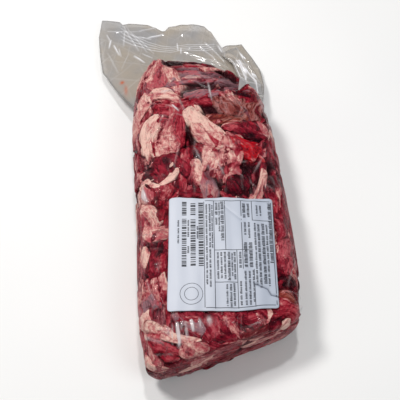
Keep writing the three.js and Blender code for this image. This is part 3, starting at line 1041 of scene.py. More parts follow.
@dataclass(frozen=True)
class Pleats:
    """The folds and glints of the film: some listed, some fanned out by the label."""

    seed: int = 11
    fanned: bool = True
    loose_count: int = 130
    wrinkle_height: float = 0.35
    wrinkle_haze: float = 0.22
    # where a listed fold is strongly white, the white film there is a painted glint
    placed: tuple[Pleat, ...] = pleats_of(
        ((-36, 119), (-14, 138), 1.6, 1.1), ((-14, 138), (28, 134), 1.4, 1.1),
        ((-20, 108), (2, 116), 1.2, 1), ((-60, 98), (-38, 112), 1, 1),
        ((20, 104), (38, 112), 1.2, 1), ((70, 90), (56, 128), 1.4, 1.2),
        ((6, 32), (18, -8), 1.3, 1), ((-12, 40), (-6, 20), 1.5, 1.2, 0.6),
        ((-26, 44), (-34, 18), 1.2, 1), ((26, 8), (44, -14), 1.1, 0.9),
        ((-66, -2), (-63, -16), 1.2, 2, 2.2), ((-65, 8), (-63, -18), 1, 1.2, 0.6),
        ((72, -90), (60, -128), 1, 1), ((78, -140), (52, -132), 1.4, 1.1),
        ((78, -140), (58, -156), 1.2, 1.1), ((-47, -138), (-46, -147), 0.9, 0.9, 1.2),
        ((-43, -138), (-43, -154), 0.8, 0.8, 1.1), ((-39, -138), (-37, -157), 1.2, 1.3, 2.2),
        ((-35, -138), (-35, -145), 0.8, 0.9, 1.2), ((-32, -138), (-30, -155), 1, 0.8, 1.3),
        ((-27, -138), (-25, -149), 1, 1.3, 2), ((-20, -138), (-19, -148), 0.8, 0.8, 0.9),
        ((-12, -137), (-10, -148), 1.2, 2.4, 1), ((-64, -128), (-44, -146), 1, 1.6, 0.7),
        ((-66, -140), (-50, -150), 1, 1.2, 0.7), ((10, 128), (12, 100), 1.6, 1, 1),
        ((-44, 108), (-30, 112), 1.2, 1.2, 0.8), ((-22, 100), (-16, 78), 1.2, 1, 0.8),
        ((-30, 92), (-24, 84), 1, 0.9, 1.6), ((-8, 56), (-14, 30), 1.2, 1.4, 0.3),
        ((-18, 40), (-26, 16), 1.1, 1.2, 0.25), ((60, 112), (66, 84), 1.2, 1.2, 0.8),
        ((40, -4), (60, 30), 1, 0.9, 0.6),
    )

    def fans(self) -> list[Pleat]:
        """Return seeded short folds that run out from the label's two ends and its left."""
        random = np.random.default_rng(self.seed)
        made = []
        below = (np.linspace(-44, 46, 17), -4, -6, -140, -1, (9, 22), 1.3, 0.35)
        above = (np.linspace(-40, 46, 15), 4, 4, -24, 1, (8, 20), 1.2, 0.3)
        for places, root, tip, edge, way, lengths, highest, haze_and_glint in (below, above):
            for x in places:
                x += random.uniform(-2, 2)
                length = random.uniform(*lengths)
                lean = random.uniform(-4, 4)
                high = random.uniform(0.5, highest)
                end = (x + tip + lean, edge + way * length)
                made.append(Pleat((x + root, edge), end, high, 0.9, haze_and_glint))
        for y in np.linspace(-132, -34, 9):
            y += random.uniform(-3, 3)
            made.append(Pleat((-50, y), (-62, y + random.uniform(-8, 8)), 0.7, 0.8, 0.25))
        return made

    def loose(self) -> list[Pleat]:
        """Return seeded fine folds scattered all over the top."""
        random = np.random.default_rng(self.seed + 1)
        made = []
        for _ in range(self.loose_count):
            x, y = random.uniform(-68, 68), random.uniform(-165, 150)
            angle = random.uniform(0, np.pi)
            half = random.uniform(3, 11)
            dx, dy = half * np.cos(angle), half * np.sin(angle)
            high = random.uniform(0.3, 0.9)
            made.append(Pleat((x - dx, y - dy), (x + dx, y + dy), high, 0.7, random.uniform(0.1, 0.6)))
        return made

    def wrinkles(self, points: Array) -> Array:
        """Return fine wrinkles from 0 to 1, the crests of two bent noises that come and go."""
        bent = points + 2.5 * noise(points, 17.0, 90)[..., None]
        long = clip01(1.0 - 4.5 * np.abs(noise(bent, np.array([7.0, 26.0, 12.0]), 91)))
        wide = clip01(1.0 - 4.5 * np.abs(noise(bent, np.array([24.0, 8.0, 12.0]), 92)))
        first = clip01(2.0 * noise(points, 21.0, 93))
        second = clip01(2.0 * noise(points, 19.0, 94))
        return np.maximum(long * first, wide * second)

    def ridges(self, points: Array) -> tuple[Array, Array]:
        """Work out the folds over the film.

        A fold's height is a bell across its line, with its ends faded out. Where folds
        cross, the higher one counts.

        Args:
            points: points of the straight form, with the last axis of length 3.

        Returns:
            The folds' heights, and how white the film is there: milky, and where strong a painted glint.
        """
        x, y = points[..., 0], points[..., 1]
        height = np.zeros(x.shape)
        haze_and_glint = np.zeros(x.shape)
        seeded = [*self.fans(), *self.loose()] if self.fanned else []
        for pleat in [*self.placed, *seeded]:
            away, t = from_line(x, y, pleat.start, pleat.end)
            fade = np.sin(np.pi * clip01(0.08 + 0.84 * t)) ** 0.5
            bell = np.exp(-((away / pleat.width) ** 2)) * fade * (points[..., 2] > 2.0)
            height = np.maximum(height, pleat.height * bell)
            haze_and_glint = np.maximum(haze_and_glint, pleat.haze_and_glint * bell)
        return height, haze_and_glint


def make_film_skin(skin: FilmSkin, pleats: Pleats, meat: Array) -> Object:
    """Build the film over the meat as a closed surface of rings.

    Args:
        skin: the film's grid and heights.
        pleats: its folds.
        meat: all the meat's points on the straight form.

    Returns:
        The object.
    """
    form, layout = skin.layout.form, skin.layout
    along = form.even_along(np.arange(1, skin.rows + 1) / (skin.rows + 1))
    around = form.even_around(np.arange(skin.columns) / skin.columns)
    base = form.form_point(around[None, :], along[:, None])
    normal = form.outward(base)
    height = np.minimum(skin.drawn_over(meat), layout.ceiling(base, normal) + skin.gap)
    ridge, haze_and_glint = pleats.ridges(base)
    plan_x, plan_y = form.placed(base)[..., 0] / MM, form.placed(base)[..., 1] / MM
    u, v = layout.label.on_paper(plan_x - form.origin[0], plan_y - form.origin[1])
    share = layout.label.share(u, v) * (base[..., 2] > 0)
    under = layout.label.under_label(u, v) - skin.label_gap
    crest = pleats.wrinkles(base)
    height = (height + ridge + pleats.wrinkle_height * crest) * (1.0 - share) + under * share
    haze_and_glint = (haze_and_glint + pleats.wrinkle_haze * crest) * (1.0 - share)
    points = (base + height[..., None] * normal).reshape(-1, 3)
    ends = np.array([[0.0, -form.half_length - 1.0, 0.0], [0.0, form.half_length + 1.0, 0.0]])
    points = np.concatenate([points, ends])
    piece = make_object("film_skin", form.placed(points), tube_faces(skin.rows, skin.columns))
    # the film's whiteness for its material: milky folds and, where strong, painted glints
    add_numbers(piece, "haze_and_glint", np.concatenate([haze_and_glint.reshape(-1), [0.0, 0.0]]))
    return piece


@dataclass
class FilmFlap:
    """The loose film past the seal, with its creases, seal lines and folded corner.

    u runs from its left side to its right and v from its root in the bag to its free edge.
    """

    form: BagForm
    root_half_width: float = 66.0
    root_left: float = 119.0
    root_right: float = 101.0
    root_crown: float = 48.0
    left: float = -105.0
    right: float = 66.0
    left_side: tuple[Triple, ...] = (
        (0, -66, 119), (0.12, -76, 134), (0.26, -89, 156), (0.39, -99, 176), (0.5, -107, 194),
        (0.64, -109, 220), (0.83, -110, 252), (1, -105, 279),
    )
    right_bulge: float = 17.0
    free_height: float = 5.5
    lowest: float = 1.3
    broad_wave: float = 3.2
    fine_wave: float = 2.0
    film: float = 0.35
    flap_grid: tuple[int, int] = (230, 160)
    fold_grid: tuple[int, int] = (90, 150)
    seal_count: int = 4
    seal_width: float = 0.14
    seal_height: float = 0.5
    seal_white: float = 0.65
    spots: tuple[tuple[float, ...], ...] = (
        (-84.0, 172.0, 2.6, 2.6, 1.0),
        (-80.0, 158.0, 2.2, 8.0, 0.6),
    )
    crumples: tuple[Triple, ...] = (
        (0.25, 23, 1.5), (1.25, 31, 1.6), (2.2, 27, 1.3), (2.9, 15, 0.7), (0.8, 13, 0.6),
    )
    seal_upper: tuple[Pair, ...] = (
        (-90, 278), (-79, 268), (-66, 256), (-50, 245), (-19, 233), (34, 229),
    )
    seal_lower: tuple[Pair, ...] = (
        (-90, 252), (-82, 245), (-70, 234), (-48, 226), (-20, 221), (34, 215),
    )
    fold_left: tuple[Triple, ...] = (
        (0, 43.5, 112), (0.35, 52, 150), (0.55, 54, 166), (0.8, 49, 190), (1, 37, 206),
    )
    fold_right: tuple[Triple, ...] = (
        (0, 45, 112), (0.18, 63, 134), (0.28, 77, 139), (0.5, 78, 158), (0.8, 68, 190),
        (1, 58, 216),
    )
    # painted glints: short folds whose white film stands for glints
    glints: Pleats = Pleats(
        placed=pleats_of(
            ((-95, 247), (-98, 234), 0.9, 0.8, 0.9), ((-99, 262), (-60, 262), 1, 0.7, 0.5),
            ((-79, 272), (-62, 226), 1.2, 0.9, 0.55), ((-74, 268), (-52, 224), 1, 0.8, 0.5),
            ((-70, 262), (-44, 222), 0.9, 0.7, 0.45), ((-60, 262), (-34, 270), 0.9, 1.2, 0.5),
            ((-14, 236), (-14, 222), 0.9, 0.7, 0.8), ((14, 226), (34, 190), 1.3, 1, 0.5),
            ((20, 232), (40, 196), 1.1, 0.9, 0.5), ((-92, 238), (-86, 221), 1, 0.9, 1),
            ((-100, 256), (-96, 244), 0.8, 0.8, 0.6), ((-86, 232), (-84, 219), 0.8, 0.7, 0.7),
            ((-50, 250), (-30, 257), 1.2, 1.3, 1), ((-62, 252), (-46, 248), 1, 0.9, 0.8),
            ((-10, 226), (-11, 216), 0.9, 0.8, 0.9), ((-68, 217), (-56, 203), 1, 1.1, 1),
            ((-58, 221), (-46, 213), 0.8, 0.7, 0.7), ((-78, 262), (-80, 236), 0.7, 0.9, 0.5),
            ((-6, 218), (44, 186), 1.6, 1.6, 0.22), ((2, 210), (46, 176), 1.4, 1.4, 0.16),
            ((-20, 205), (30, 190), 1.2, 1.6, 0.12), ((33, 244), (42, 214), 0.9, 0.8, 0.5),
            ((36, 226), (40, 214), 0.8, 1, 0.9), ((-42, 208), (-26, 186), 1.1, 1.2, 0.35),
            ((-100, 226), (-88, 190), 1, 1, 0.3), ((-74, 222), (-84, 196), 1, 1, 0.2),
        ),
        fanned=False,
    )
    free_edge: tuple[Pair, ...] = (
        (-105, 279), (-83, 278), (-80, 274), (-72, 277), (-48, 273), (-38, 268), (-31, 263),
        (-27, 263), (-22, 267), (22, 259), (30, 250), (36, 232), (40, 222), (50, 226), (66, 230),
    )

    def surface(self, u: Array, v: Array) -> tuple[Array, Array, Array]:
        """Work out the flap's middle: a ruled sheet with a fall and two waves, pulled to its side."""
        root_x = -self.root_half_width + 2.0 * self.root_half_width * u
        crown = self.root_crown * np.abs(np.sin(np.pi * u)) ** 0.8
        root_y = self.root_left + (self.root_right - self.root_left) * u + crown
        edge_x = self.left + (self.right - self.left) * u
        edge = np.array(self.free_edge, float)
        edge_y = np.interp(edge_x, edge[:, 0], edge[:, 1])
        bulge = self.right_bulge * np.maximum(2.0 * u - 1.0, 0.0) ** 5 * np.sin(np.pi * v)
        fall = (self.form.seam_height - self.free_height) * (1.0 - v) ** 2.2
        broad = self.broad_wave * np.sin(9.5 * u + 1.2)
        fine = self.fine_wave * np.sin(21.0 * u - 5.0 * v) * (1.0 - 0.3 * v)
        z = np.maximum(self.free_height + fall + v * (broad + fine), self.lowest)
        x = root_x + (edge_x - root_x) * v + bulge
        y = root_y + (edge_y - root_y) * v
        side = np.array(self.left_side)
        pull = np.maximum(1.0 - 2.0 * u, 0.0) ** 2.5
        aside = np.interp(v, side[:, 0], side[:, 1]) - x[:, :1]
        ahead = np.interp(v, side[:, 0], side[:, 2]) - y[:, :1]
        return x + pull * aside, y + pull * ahead, z

    def facets(self, x: Array, y: Array) -> tuple[Array, Array]:
        """Work out a crumple of straight creases between flat facets.

        It is the sum of triangle waves in a few directions, each bent a little by broad
        noise and fading in and out over the sheet.

        Args:
            x: millimetres across in plan.
            y: millimetres along in plan.

        Returns:
            Heights in millimetres and how sharp a crest each place is on.
        """
        flat = joined(x, y, 0.0)
        height, crest = np.zeros(x.shape), np.zeros(x.shape)
        for number, (angle, length, amount) in enumerate(self.crumples):
            bend = 0.22 * noise(flat, 45.0, 70 + number)
            along = (x * np.cos(angle) + y * np.sin(angle)) / length + bend
            wave = 1.0 - np.abs(2.0 * (along % 1.0) - 1.0)
            fade = clip01(0.45 + 1.1 * noise(flat, 38.0, 80 + number))
            height += amount * fade * wave
            crest = np.maximum(crest, fade * clip01(wave * 9.0 - 8.0))
        return height, crest

    def seals(self, x: Array, y: Array) -> Array:
        """Return the fine raised lines of the heat seals, bells between two drawn lines."""
        upper = np.interp(x, *np.array(self.seal_upper, float).T)
        lower = np.interp(x, *np.array(self.seal_lower, float).T)
        fade = smooth_step(-86.0, -76.0, x) * (1.0 - smooth_step(26.0, 38.0, x))
        share = (upper - y) / (upper - lower)
        line = (share * self.seal_count) % 1.0
        bell = np.exp(-(((line - 0.5) / self.seal_width) ** 2))
        return bell * fade * ((share > 0.0) & (share < 1.0))

    def make_film(
        self, name: str, points: Array, haze_and_glint: Array, stain: Array, rim: Array
    ) -> Object:
        """Build one sheet of film as a closed solid.

        Args:
            name: the piece's name.
            points: its points in plan and height, row by row.
            haze_and_glint: how white it is at each point.
            stain: how stained.
            rim: how dark: darker at an edge, and on the fold at its painted crease shadows.

        Returns:
            The object.
        """
        piece = make_object(name, self.placed(points), sheet_faces(*points.shape[:2]))
        for kind, values in (("haze_and_glint", haze_and_glint), ("stain", stain), ("rim", rim)):
            add_numbers(piece, kind, clip01(values).reshape(-1))
        thicken(piece, "film_thickness", self.film, 0.0)
        return piece

    def make(self) -> Object:
        """Build the flap: its sheet, crumpled, with painted glints, seal lines and a whitened corner."""
        u, v = sheet_grid(0.0, 1.0, *self.flap_grid)
        x, y, z = self.surface(u, v)
        height, crest = self.facets(x, y)
        glint, painted_glint = self.glints.ridges(joined(x, y, 10.0))
        seal = self.seals(x, y)
        fade = smooth_step(0.0, 0.2, v)
        corner = smooth_step(-79.0, -81.0, x) * smooth_step(226.0, 240.0, y)
        rim = smooth_step(0.982, 0.996, np.maximum(np.abs(2.0 * u - 1.0), v))
        z = z + fade * (height + glint + self.seal_height * seal) + 0.6 * corner - 0.8
        # white: crumple crests, partly stress-whitened film and partly painted highlight; painted
        # glints; whiter seal lines; a whiter doubled corner
        white = 0.14 * crest * fade + painted_glint + self.seal_white * seal + 0.12 * corner
        stain = np.zeros(x.shape)
        for spot_x, spot_y, width, length, strength in self.spots:
            away = np.hypot((x - spot_x) / width, (y - spot_y) / length)
            stain += strength * np.exp(-(away**2))
        rim = np.maximum(rim, 0.5 * corner)
        return self.make_film("film_flap", joined(x, y, z), white, stain, rim)

    def placed(self, points: Array) -> Array:
        """Return plan points in the frame, in metres, none below the ground."""
        x = points[..., 0] + self.form.origin[0]
        y = points[..., 1] + self.form.origin[1]
        return joined(x, y, np.maximum(points[..., 2], 0.4)) * MM

    def surface_top(self, x: Array, y: Array) -> Array:
        """Return the height of the bag under a place in plan, falling away outside it."""
        straight_x, straight_y = self.form.straight_plan(x, y)
        top = self.form.top_point(straight_x, straight_y)[..., 2]
        outside = np.maximum(self.form.height_over(joined(straight_x, straight_y, 0.0)), 0.0)
        beside = 9.0 + 22.0 * np.exp(-outside / 14.0)
        return np.where(top > 0.0, top + self.form.seam_height + 5.0, beside)

    def make_fold(self) -> Object:
        """Build the right side of the film, folded back over the flap and the bag's corner.

        It is a ruled sheet between two drawn edges, which meet in a point on the bag. It
        lies on what is under it and is creased along its length, with painted glints on its
        creases and painted shadow beside them.
        """
        u, v = sheet_grid(0.0, 1.0, *self.fold_grid)
        edges = (np.array(self.fold_left, float), np.array(self.fold_right, float))
        low, high = (joined(*(np.interp(v, e[:, 0], e[:, k]) for k in (1, 2))) for e in edges)
        plan = low + (high - low) * u[..., None]
        x, y = plan[..., 0], plan[..., 1]
        flat = joined(u * 30.0, v * 110.0, 0.0)
        streak = noise(flat, np.array([5.5, 42.0, 9.0]), 23)
        bend = noise(flat, np.array([12.0, 26.0, 9.0]), 24)
        crest = clip01(1.0 - 3.2 * np.abs(streak + 0.3 * bend)) ** 1.5
        height, facet = self.facets(x + 17.0, y)
        under = self.surface_top(x, y)
        for _ in range(14):
            under[1:-1] = np.maximum(under[1:-1], 0.5 * (under[:-2] + under[2:]) - 0.3)
        loose = smooth_step(0.0, 0.5, v)
        z = under + 0.6 + 1.8 * loose + loose * (1.6 * crest + height + 2.5 * np.sin(np.pi * u))
        rim = smooth_step(0.955, 0.99, np.maximum(np.abs(2.0 * u - 1.0), v))
        # painted glints: creases along the fold made white; painted shadow: dark streaks beside them,
        # sent with the edge darkening as rim
        white = 0.12 + loose * (1.1 * crest * (bend > -0.1) + 0.3 * facet)
        shadow = loose * clip01(3.0 * np.abs(streak) - 0.6)
        stain, rim = np.zeros(u.shape), rim * loose + shadow
        return self.make_film("film_fold", joined(x, y, z), white, stain, rim)


@dataclass
class LabelPaper:
    """The white paper label and what is printed on it, all of it generic."""

    form: BagForm
    place: LabelPlace
    lift: float = 0.3
    thickness: float = 0.3
    ink_thickness: float = 0.04
    ink_gap: float = 0.03
    widest_ink: float = 1.3
    line_half: float = 0.32
    line_run: float = 4.0
    bar_shade: float = 0.1
    palest_dash: float = 0.55
    line_shade: float = 0.3
    ring_shade: float = 0.4
    ring_centre: Pair = (-28.5, -42.0)
    ring_radii: Pair = (10.2, 6.2)
    ring_half: float = 0.25
    ring_blocks: int = 64
    raised_corner: float = 3.4
    ripple: float = 0.22
    ripple_size: float = 16.0
    film_gap: float = 0.35
    paper_grid: tuple[int, int] = (110, 130)
    seed: int = 29

    def point(self, u: Array, v: Array, raised: float) -> Array:
        """Return the place of points on the paper, raised over the film, in metres.

        Args:
            u: millimetres across from the label's centre.
            v: millimetres along.
            raised: millimetres over the film.

        Returns:
            Points in the frame.
        """
        corner = smooth_step(10.0, 46.0, u) * smooth_step(25.0, 58.0, -v)
        plan_x, plan_y = self.place.in_plan(u, v + self.raised_corner * corner)
        point = self.form.top_point(*self.form.straight_plan(plan_x, plan_y))
        ripple = self.ripple * noise(joined(u, v, 0.0), self.ripple_size, 31)
        height = self.place.under_label(u, v) + raised + ripple + self.film_gap
        return self.form.placed(point + height[..., None] * self.form.outward(point))

    def make_paper(self) -> Object:
        """Build the paper: a grid whose edge follows a rectangle with rounded corners."""
        u, v = sheet_grid(-1.0, 1.0, *self.paper_grid)
        place = self.place
        v = np.sin(0.5 * np.pi * v) * 0.12 + v * 0.88
        paper_v = v * place.height / 2.0
        cut = np.maximum(place.corner_radius - (place.height / 2.0 - np.abs(paper_v)), 0.0)
        inset = place.corner_radius - np.sqrt(place.corner_radius**2 - cut**2)
        paper_u = u * (place.width / 2.0 - inset)
        top_wave = 0.7 * np.sin(0.13 * paper_u + 0.9) * smooth_step(0.6, 1.0, v)
        points = self.point(paper_u, paper_v + top_wave, self.lift)
        piece = make_object("label_paper", points, sheet_faces(*u.shape))
        # painted shade darker towards the paper's right, and its creases for the painted crease shadow
        painted_right_shade = smooth_step(-22.0, 40.0, paper_u)
        add_numbers(piece, "shade", (0.8 * painted_right_shade).reshape(-1))
        add_numbers(piece, "fold", place.crease(paper_u, paper_v).reshape(-1))
        thicken(piece, "paper_thickness", self.thickness, 1.0)
        return piece

    def bars(self, random: np.random.Generator) -> list[Quad]:
        """Return three columns of seeded bars: left, low, right and high edges."""
        columns = (
            (-37.5, 4.4, 54, 40), (-37.5, 4.4, 35.5, -15), (-29.3, 4.8, 52, 40),
            (-29.3, 4.8, 34.5, -15), (-21.7, 4.6, 53, -14),
        )
        made = []
        for left, width, high, low in columns:
            v = high
            while v > low:
                thick = random.choice([0.7, 1.0, 1.5, 2.2])
                made.append((left, v - thick, left + width, v))
                v -= thick + random.choice([0.6, 0.9, 1.3])
        return made

    def dashes(
        self, random: np.random.Generator, left: float, right: float, high: float, low: float
    ) -> list[Quad]:
        """Return a column of seeded dashes in place of a line of small print."""
        made = []
        v = high
        while v > low + 1.0:
            for _ in range(random.integers(3, 9)):
                size = random.uniform(0.6, 1.4)
                if v - size < low:
                    break
                inset = random.uniform(0.0, 0.3) * (right - left)
                made.append((left + inset, v - size, right + 0.3, v))
                v -= size + 0.35
            v -= random.uniform(0.5, 1.3)
        return made

    def small_print(self, random: np.random.Generator) -> list[Quad]:
        """Return every column of dashes, from a list of left, width, high and low."""
        columns = (
            (-41.8, 1.4, 34, 8), (-32.4, 1.5, 34, 16), (-32.4, 1.5, 6, -3), (-23.8, 1.6, 27, 12),
            (-15, 1.5, 51, -34), (-12, 1.7, 51, -36), (-9.4, 1.2, 50, 2), (-5.8, 2.4, 53, 39),
            (-5.8, 2, 36, 28), (-2.6, 1.4, 53, 20), (-0.6, 3, 54, 10), (-5, 1.8, -1, -29),
            (-1.6, 1.6, -1, -28), (1.6, 1.8, -1, -30), (5, 2.4, -1, -30), (8.4, 1.4, -2, -26),
            (10.6, 1.9, -1, -30), (3, 1.6, -33, -55), (6.4, 1.8, -33, -55), (9.6, 1.7, -32, -54),
            (15.6, 2.2, -1, -18), (15.6, 1.8, -30, -54), (20.6, 2.8, 52, 35), (21.2, 2.2, 31, 17),
            (20.4, 3.2, 9, -17), (20.2, 1.7, -20, -54), (25, 2.2, 52, 36), (25.4, 1.6, 31, 12),
            (25.2, 3.2, 9, -17), (24, 1.7, -20, -54), (27.6, 1.6, -19, -52), (30.8, 1.6, 30, -34),
            (33.8, 2.2, 29, -38), (33.6, 1.6, 50, 38), (37, 1.6, 50, 38), (37.6, 3, 30, -34),
            (41.8, 1.7, 29, -36), (44.6, 2.8, 53, -12),
        )
        return [
            dash
            for left, width, high, low in columns
            for dash in self.dashes(random, left, left + width, high, low)
        ]

    def table_lines(self) -> list[Quad]:
        """Return the thin lines of the table, long ones cut short so that they follow the paper."""
        upright = (
            (-16.4, 54, -55), (-6.9, 55, -56), (3.8, 55, 1.5), (19.4, 55, -18), (29.9, 55, 33),
            (14, 1.5, -56), (29.4, -18, -56), (48.2, 54, -55),
        )
        level = (
            (55, -15.4, 47.2), (-55.2, -15.4, 47.2), (33.2, 29.9, 48.2), (1.3, -6.9, 29.4),
            (-30.9, -6.9, 14),
        )
        half, run = self.line_half, self.line_run
        made = []
        for u, high, low in upright:
            for v in np.arange(low, high, run):
                made.append((u - half, v, u + half, min(v + run, high)))
        for v, left, right in level:
            for u in np.arange(left, right, run):
                made.append((u, v - half, min(u + run, right), v + half))
        return made

    def narrowed(self, boxes: Array, shade: Array) -> tuple[Array, Array]:
        """Cut wide boxes of print into narrow ones, so that they follow the wavy paper.

        Args:
            boxes: rows of left, low, right and high.
            shade: the shade of each box.

        Returns:
            More boxes, none wider than widest_ink, and their shades.
        """
        left, _, right, _ = boxes.T
        parts = np.maximum(np.ceil((right - left) / self.widest_ink), 1.0).astype(int)
        row = np.repeat(np.arange(len(boxes)), parts)
        first = np.cumsum(parts) - parts
        number = np.arange(len(row)) - first[row]
        step = ((right - left) / parts)[row]
        cut = boxes[row]
        cut[:, 0] = left[row] + number * step
        cut[:, 2] = cut[:, 0] + step
        return cut, shade[row]

    def ring_corners(self) -> Array:
        """Return the corners of two plain rings, each a band of short blocks."""
        middle_u, middle_v = self.ring_centre
        angle = np.linspace(0.0, 2.0 * np.pi, self.ring_blocks + 1)
        start, end = angle[:-1], angle[1:]
        corners = []
        for radius in self.ring_radii:
            inner, outer = radius - self.ring_half, radius + self.ring_half
            quad = ((outer, start), (outer, end), (inner, end), (inner, start))
            band = [joined(middle_u + r * np.cos(a), middle_v + r * np.sin(a)) for r, a in quad]
            corners.append(np.stack(band, axis=1))
        return np.concatenate(corners)

    def make_print(self) -> Object:
        """Build the print as thin blocks of ink that lie on the paper."""
        random = np.random.default_rng(self.seed)
        dark = self.bars(random)
        grey = self.small_print(random)
        lines = self.table_lines()
        shades = (
            np.full(len(dark), self.bar_shade),
            self.palest_dash * random.random(len(grey)),
            np.full(len(lines), self.line_shade),
        )
        boxes, shade = self.narrowed(np.array(dark + grey + lines), np.concatenate(shades))
        left, low, right, high = boxes.T
        corners = joined(joined(left, right, right, left), joined(low, low, high, high))
        rings = self.ring_corners()
        corners = np.concatenate([corners, rings])
        shade = np.concatenate([shade, np.full(len(rings), self.ring_shade)])
        raised = self.lift + self.thickness + self.ink_gap
        points = self.point(corners[..., 0], corners[..., 1], raised)
        faces = np.arange(len(corners) * 4).reshape(-1, 4).tolist()
        piece = make_object("label_print", points, faces, smooth=False)
        add_numbers(piece, "shade", np.repeat(shade, 4))
        thicken(piece, "ink_thickness", self.ink_thickness, 1.0)
        return piece


class NodeSheet:
    """A material's node tree with short calls to add and join its nodes."""

    def __init__(self, name: str) -> None:
        """Start a material with one Principled shader."""
        self.material = bpy.data.materials.new(name)
        self.material.use_nodes = True
        self.tree = self.material.node_tree
        self.shader = self.tree.nodes["Principled BSDF"]

    def node(self, kind: str, **settings: object) -> bpy.types.Node:
        """Add a node and set its properties."""
        made = self.tree.nodes.new(kind)
        for key, value in settings.items():
            setattr(made, key, value)
        return made

    def join(self, source: bpy.types.NodeSocket, target: bpy.types.NodeSocket) -> None:
        """Link one socket to another."""
        self.tree.links.new(source, target)

    def attribute(self, name: str) -> bpy.types.Node:
        """Add the node that reads numbers stored on the piece."""
        return self.node("ShaderNodeAttribute", attribute_name=name)

    def parts(self, source: bpy.types.NodeSocket) -> tuple:
        """Split a vector into its three numbers."""
        split = self.node("ShaderNodeSeparateXYZ")
        self.join(source, split.inputs[0])
        return tuple(split.outputs)

    def math(self, operation: str, first: object, second: object = 0.0, third: object = 0.0) -> object:
        """Add a sum and return its result. Each term is a socket or a number."""
        made = self.node("ShaderNodeMath", operation=operation)
        for index, term in enumerate((first, second, third)):
            if isinstance(term, bpy.types.NodeSocket):
                self.join(term, made.inputs[index])
            else:
                made.inputs[index].default_value = float(term)
        return made.outputs[0]

    def clamp01(self, value: object) -> object:
        """Return a socket's value kept from 0 to 1."""
        made = self.node("ShaderNodeClamp")
        self.join(value, made.inputs[0])
        return made.outputs[0]

    def total(self, *terms: object) -> object:
        """Return the sum of some terms, added from the left."""
        value = terms[0]
        for term in terms[1:]:
            value = self.math("ADD", value, term)
        return value

    def product(self, first: object, second: object) -> object:
        """Return the product of two terms."""
        return self.math("MULTIPLY", first, second)

    def line(self, value: object, slope: object, start: object) -> object:
        """Return a value times a slope, plus a start."""
        return self.math("MULTIPLY_ADD", value, slope, start)

    def line01(self, value: object, slope: object, start: object) -> object:
        """Return a value times a slope, plus a start, kept from 0 to 1."""
        return self.clamp01(self.line(value, slope, start))

    def centred(self, pattern: object, weight: float) -> object:
        """Return a pattern brought round 0 and weighted."""
        return self.line(pattern, weight, -0.5 * weight)

    def thin_lines(self, pattern: object, level: float, slope: float) -> object:
        """Return lines where a pattern passes a level, 1 on them and falling to 0 beside."""
        away = self.math("ABSOLUTE", self.math("SUBTRACT", pattern, level))
        return self.line01(away, -slope, 1.0)

    def stored(self, name: str) -> bpy.types.NodeSocket:
        """Return the number stored on the piece under a name."""
        return self.attribute(name).outputs["Fac"]

    def place(self) -> bpy.types.NodeSocket:
        """Return the place on the piece, in metres."""
        return self.node("ShaderNodeTexCoord").outputs["Object"]

    def noise(
        self,
        where: object,
        scale: float | Triple,
        detail: float = 3.0,
        rough: float = 0.55,
        bent: float = 0.0,
    ) -> object:
        """Add a noise pattern at a place and return its value from 0 to 1.

        Args:
            where: the place.
            scale: how fine it is, one number or one for each axis.
            detail: how many finer layers it has.
            rough: how strong they are.
            bent: how far it is bent by itself.

        Returns:
            The pattern's value.
        """
        if isinstance(scale, tuple):
            where, scale = self.stretched(where, scale), 1.0
        made = self.node("ShaderNodeTexNoise")
        settings = {"Scale": scale, "Detail": detail, "Roughness": rough, "Distortion": bent}
        for key, value in settings.items():
            made.inputs[key].default_value = value
        self.join(where, made.inputs["Vector"])
        return made.outputs["Fac"]

    def stretched(self, where: object, scale: Triple) -> object:
        """Return a place stretched along its axes, for grain."""
        made = self.node("ShaderNodeMapping")
        made.inputs["Scale"].default_value = scale
        self.join(where, made.inputs["Vector"])
        return made.outputs[0]

    def ramp(self, value: object, stops: tuple) -> object:
        """Return a colour picked along a line of (place, colour) stops."""
        made = self.node("ShaderNodeValToRGB")
        while len(made.color_ramp.elements) < len(stops):
            made.color_ramp.elements.new(0.5)
        for element, (place, colour) in zip(made.color_ramp.elements, stops):
            element.position = place
            element.color = (*from_screen(colour), 1.0)
        self.join(value, made.inputs[0])
        return made.outputs[0]

    def mix(self, share: object, first: object, second: object, blend: str = "MIX") -> object:
        """Return two colours mixed by a share. A colour is a socket or screen values."""
        made = self.node("ShaderNodeMix", data_type="RGBA", blend_type=blend)
        for socket, term in ((made.inputs[0], share), (made.inputs[6], first), (made.inputs[7], second)):
            if isinstance(term, bpy.types.NodeSocket):
                self.join(term, socket)
            elif isinstance(term, tuple):
                socket.default_value = (*from_screen(term), 1.0)
            else:
                socket.default_value = term
        return made.outputs[2]

    def bump(self, height: object, distance: float, strength: float = 1.0) -> None:
        """Raise the surface by a height pattern, distance in millimetres."""
        made = self.node("ShaderNodeBump")
        made.inputs["Distance"].default_value = distance * MM
        made.inputs["Strength"].default_value = strength
        self.join(height, made.inputs["Height"])
        self.join(made.outputs[0], self.shader.inputs["Normal"])

    def set(self, **values: object) -> None:
        """Set the shader's sockets by name, with underscores for spaces, to numbers or colours."""
        for key, value in values.items():
            self.shader.inputs[key.replace("_", " ")].default_value = value


def from_screen(colour: Triple) -> tuple[float, ...]:
    """Return a colour given as 0 to 255 screen values in linear light."""
    share = np.array(colour, float) / 255.0
    return tuple(np.where(share <= 0.04045, share / 12.92, ((share + 0.055) / 1.055) ** 2.4))


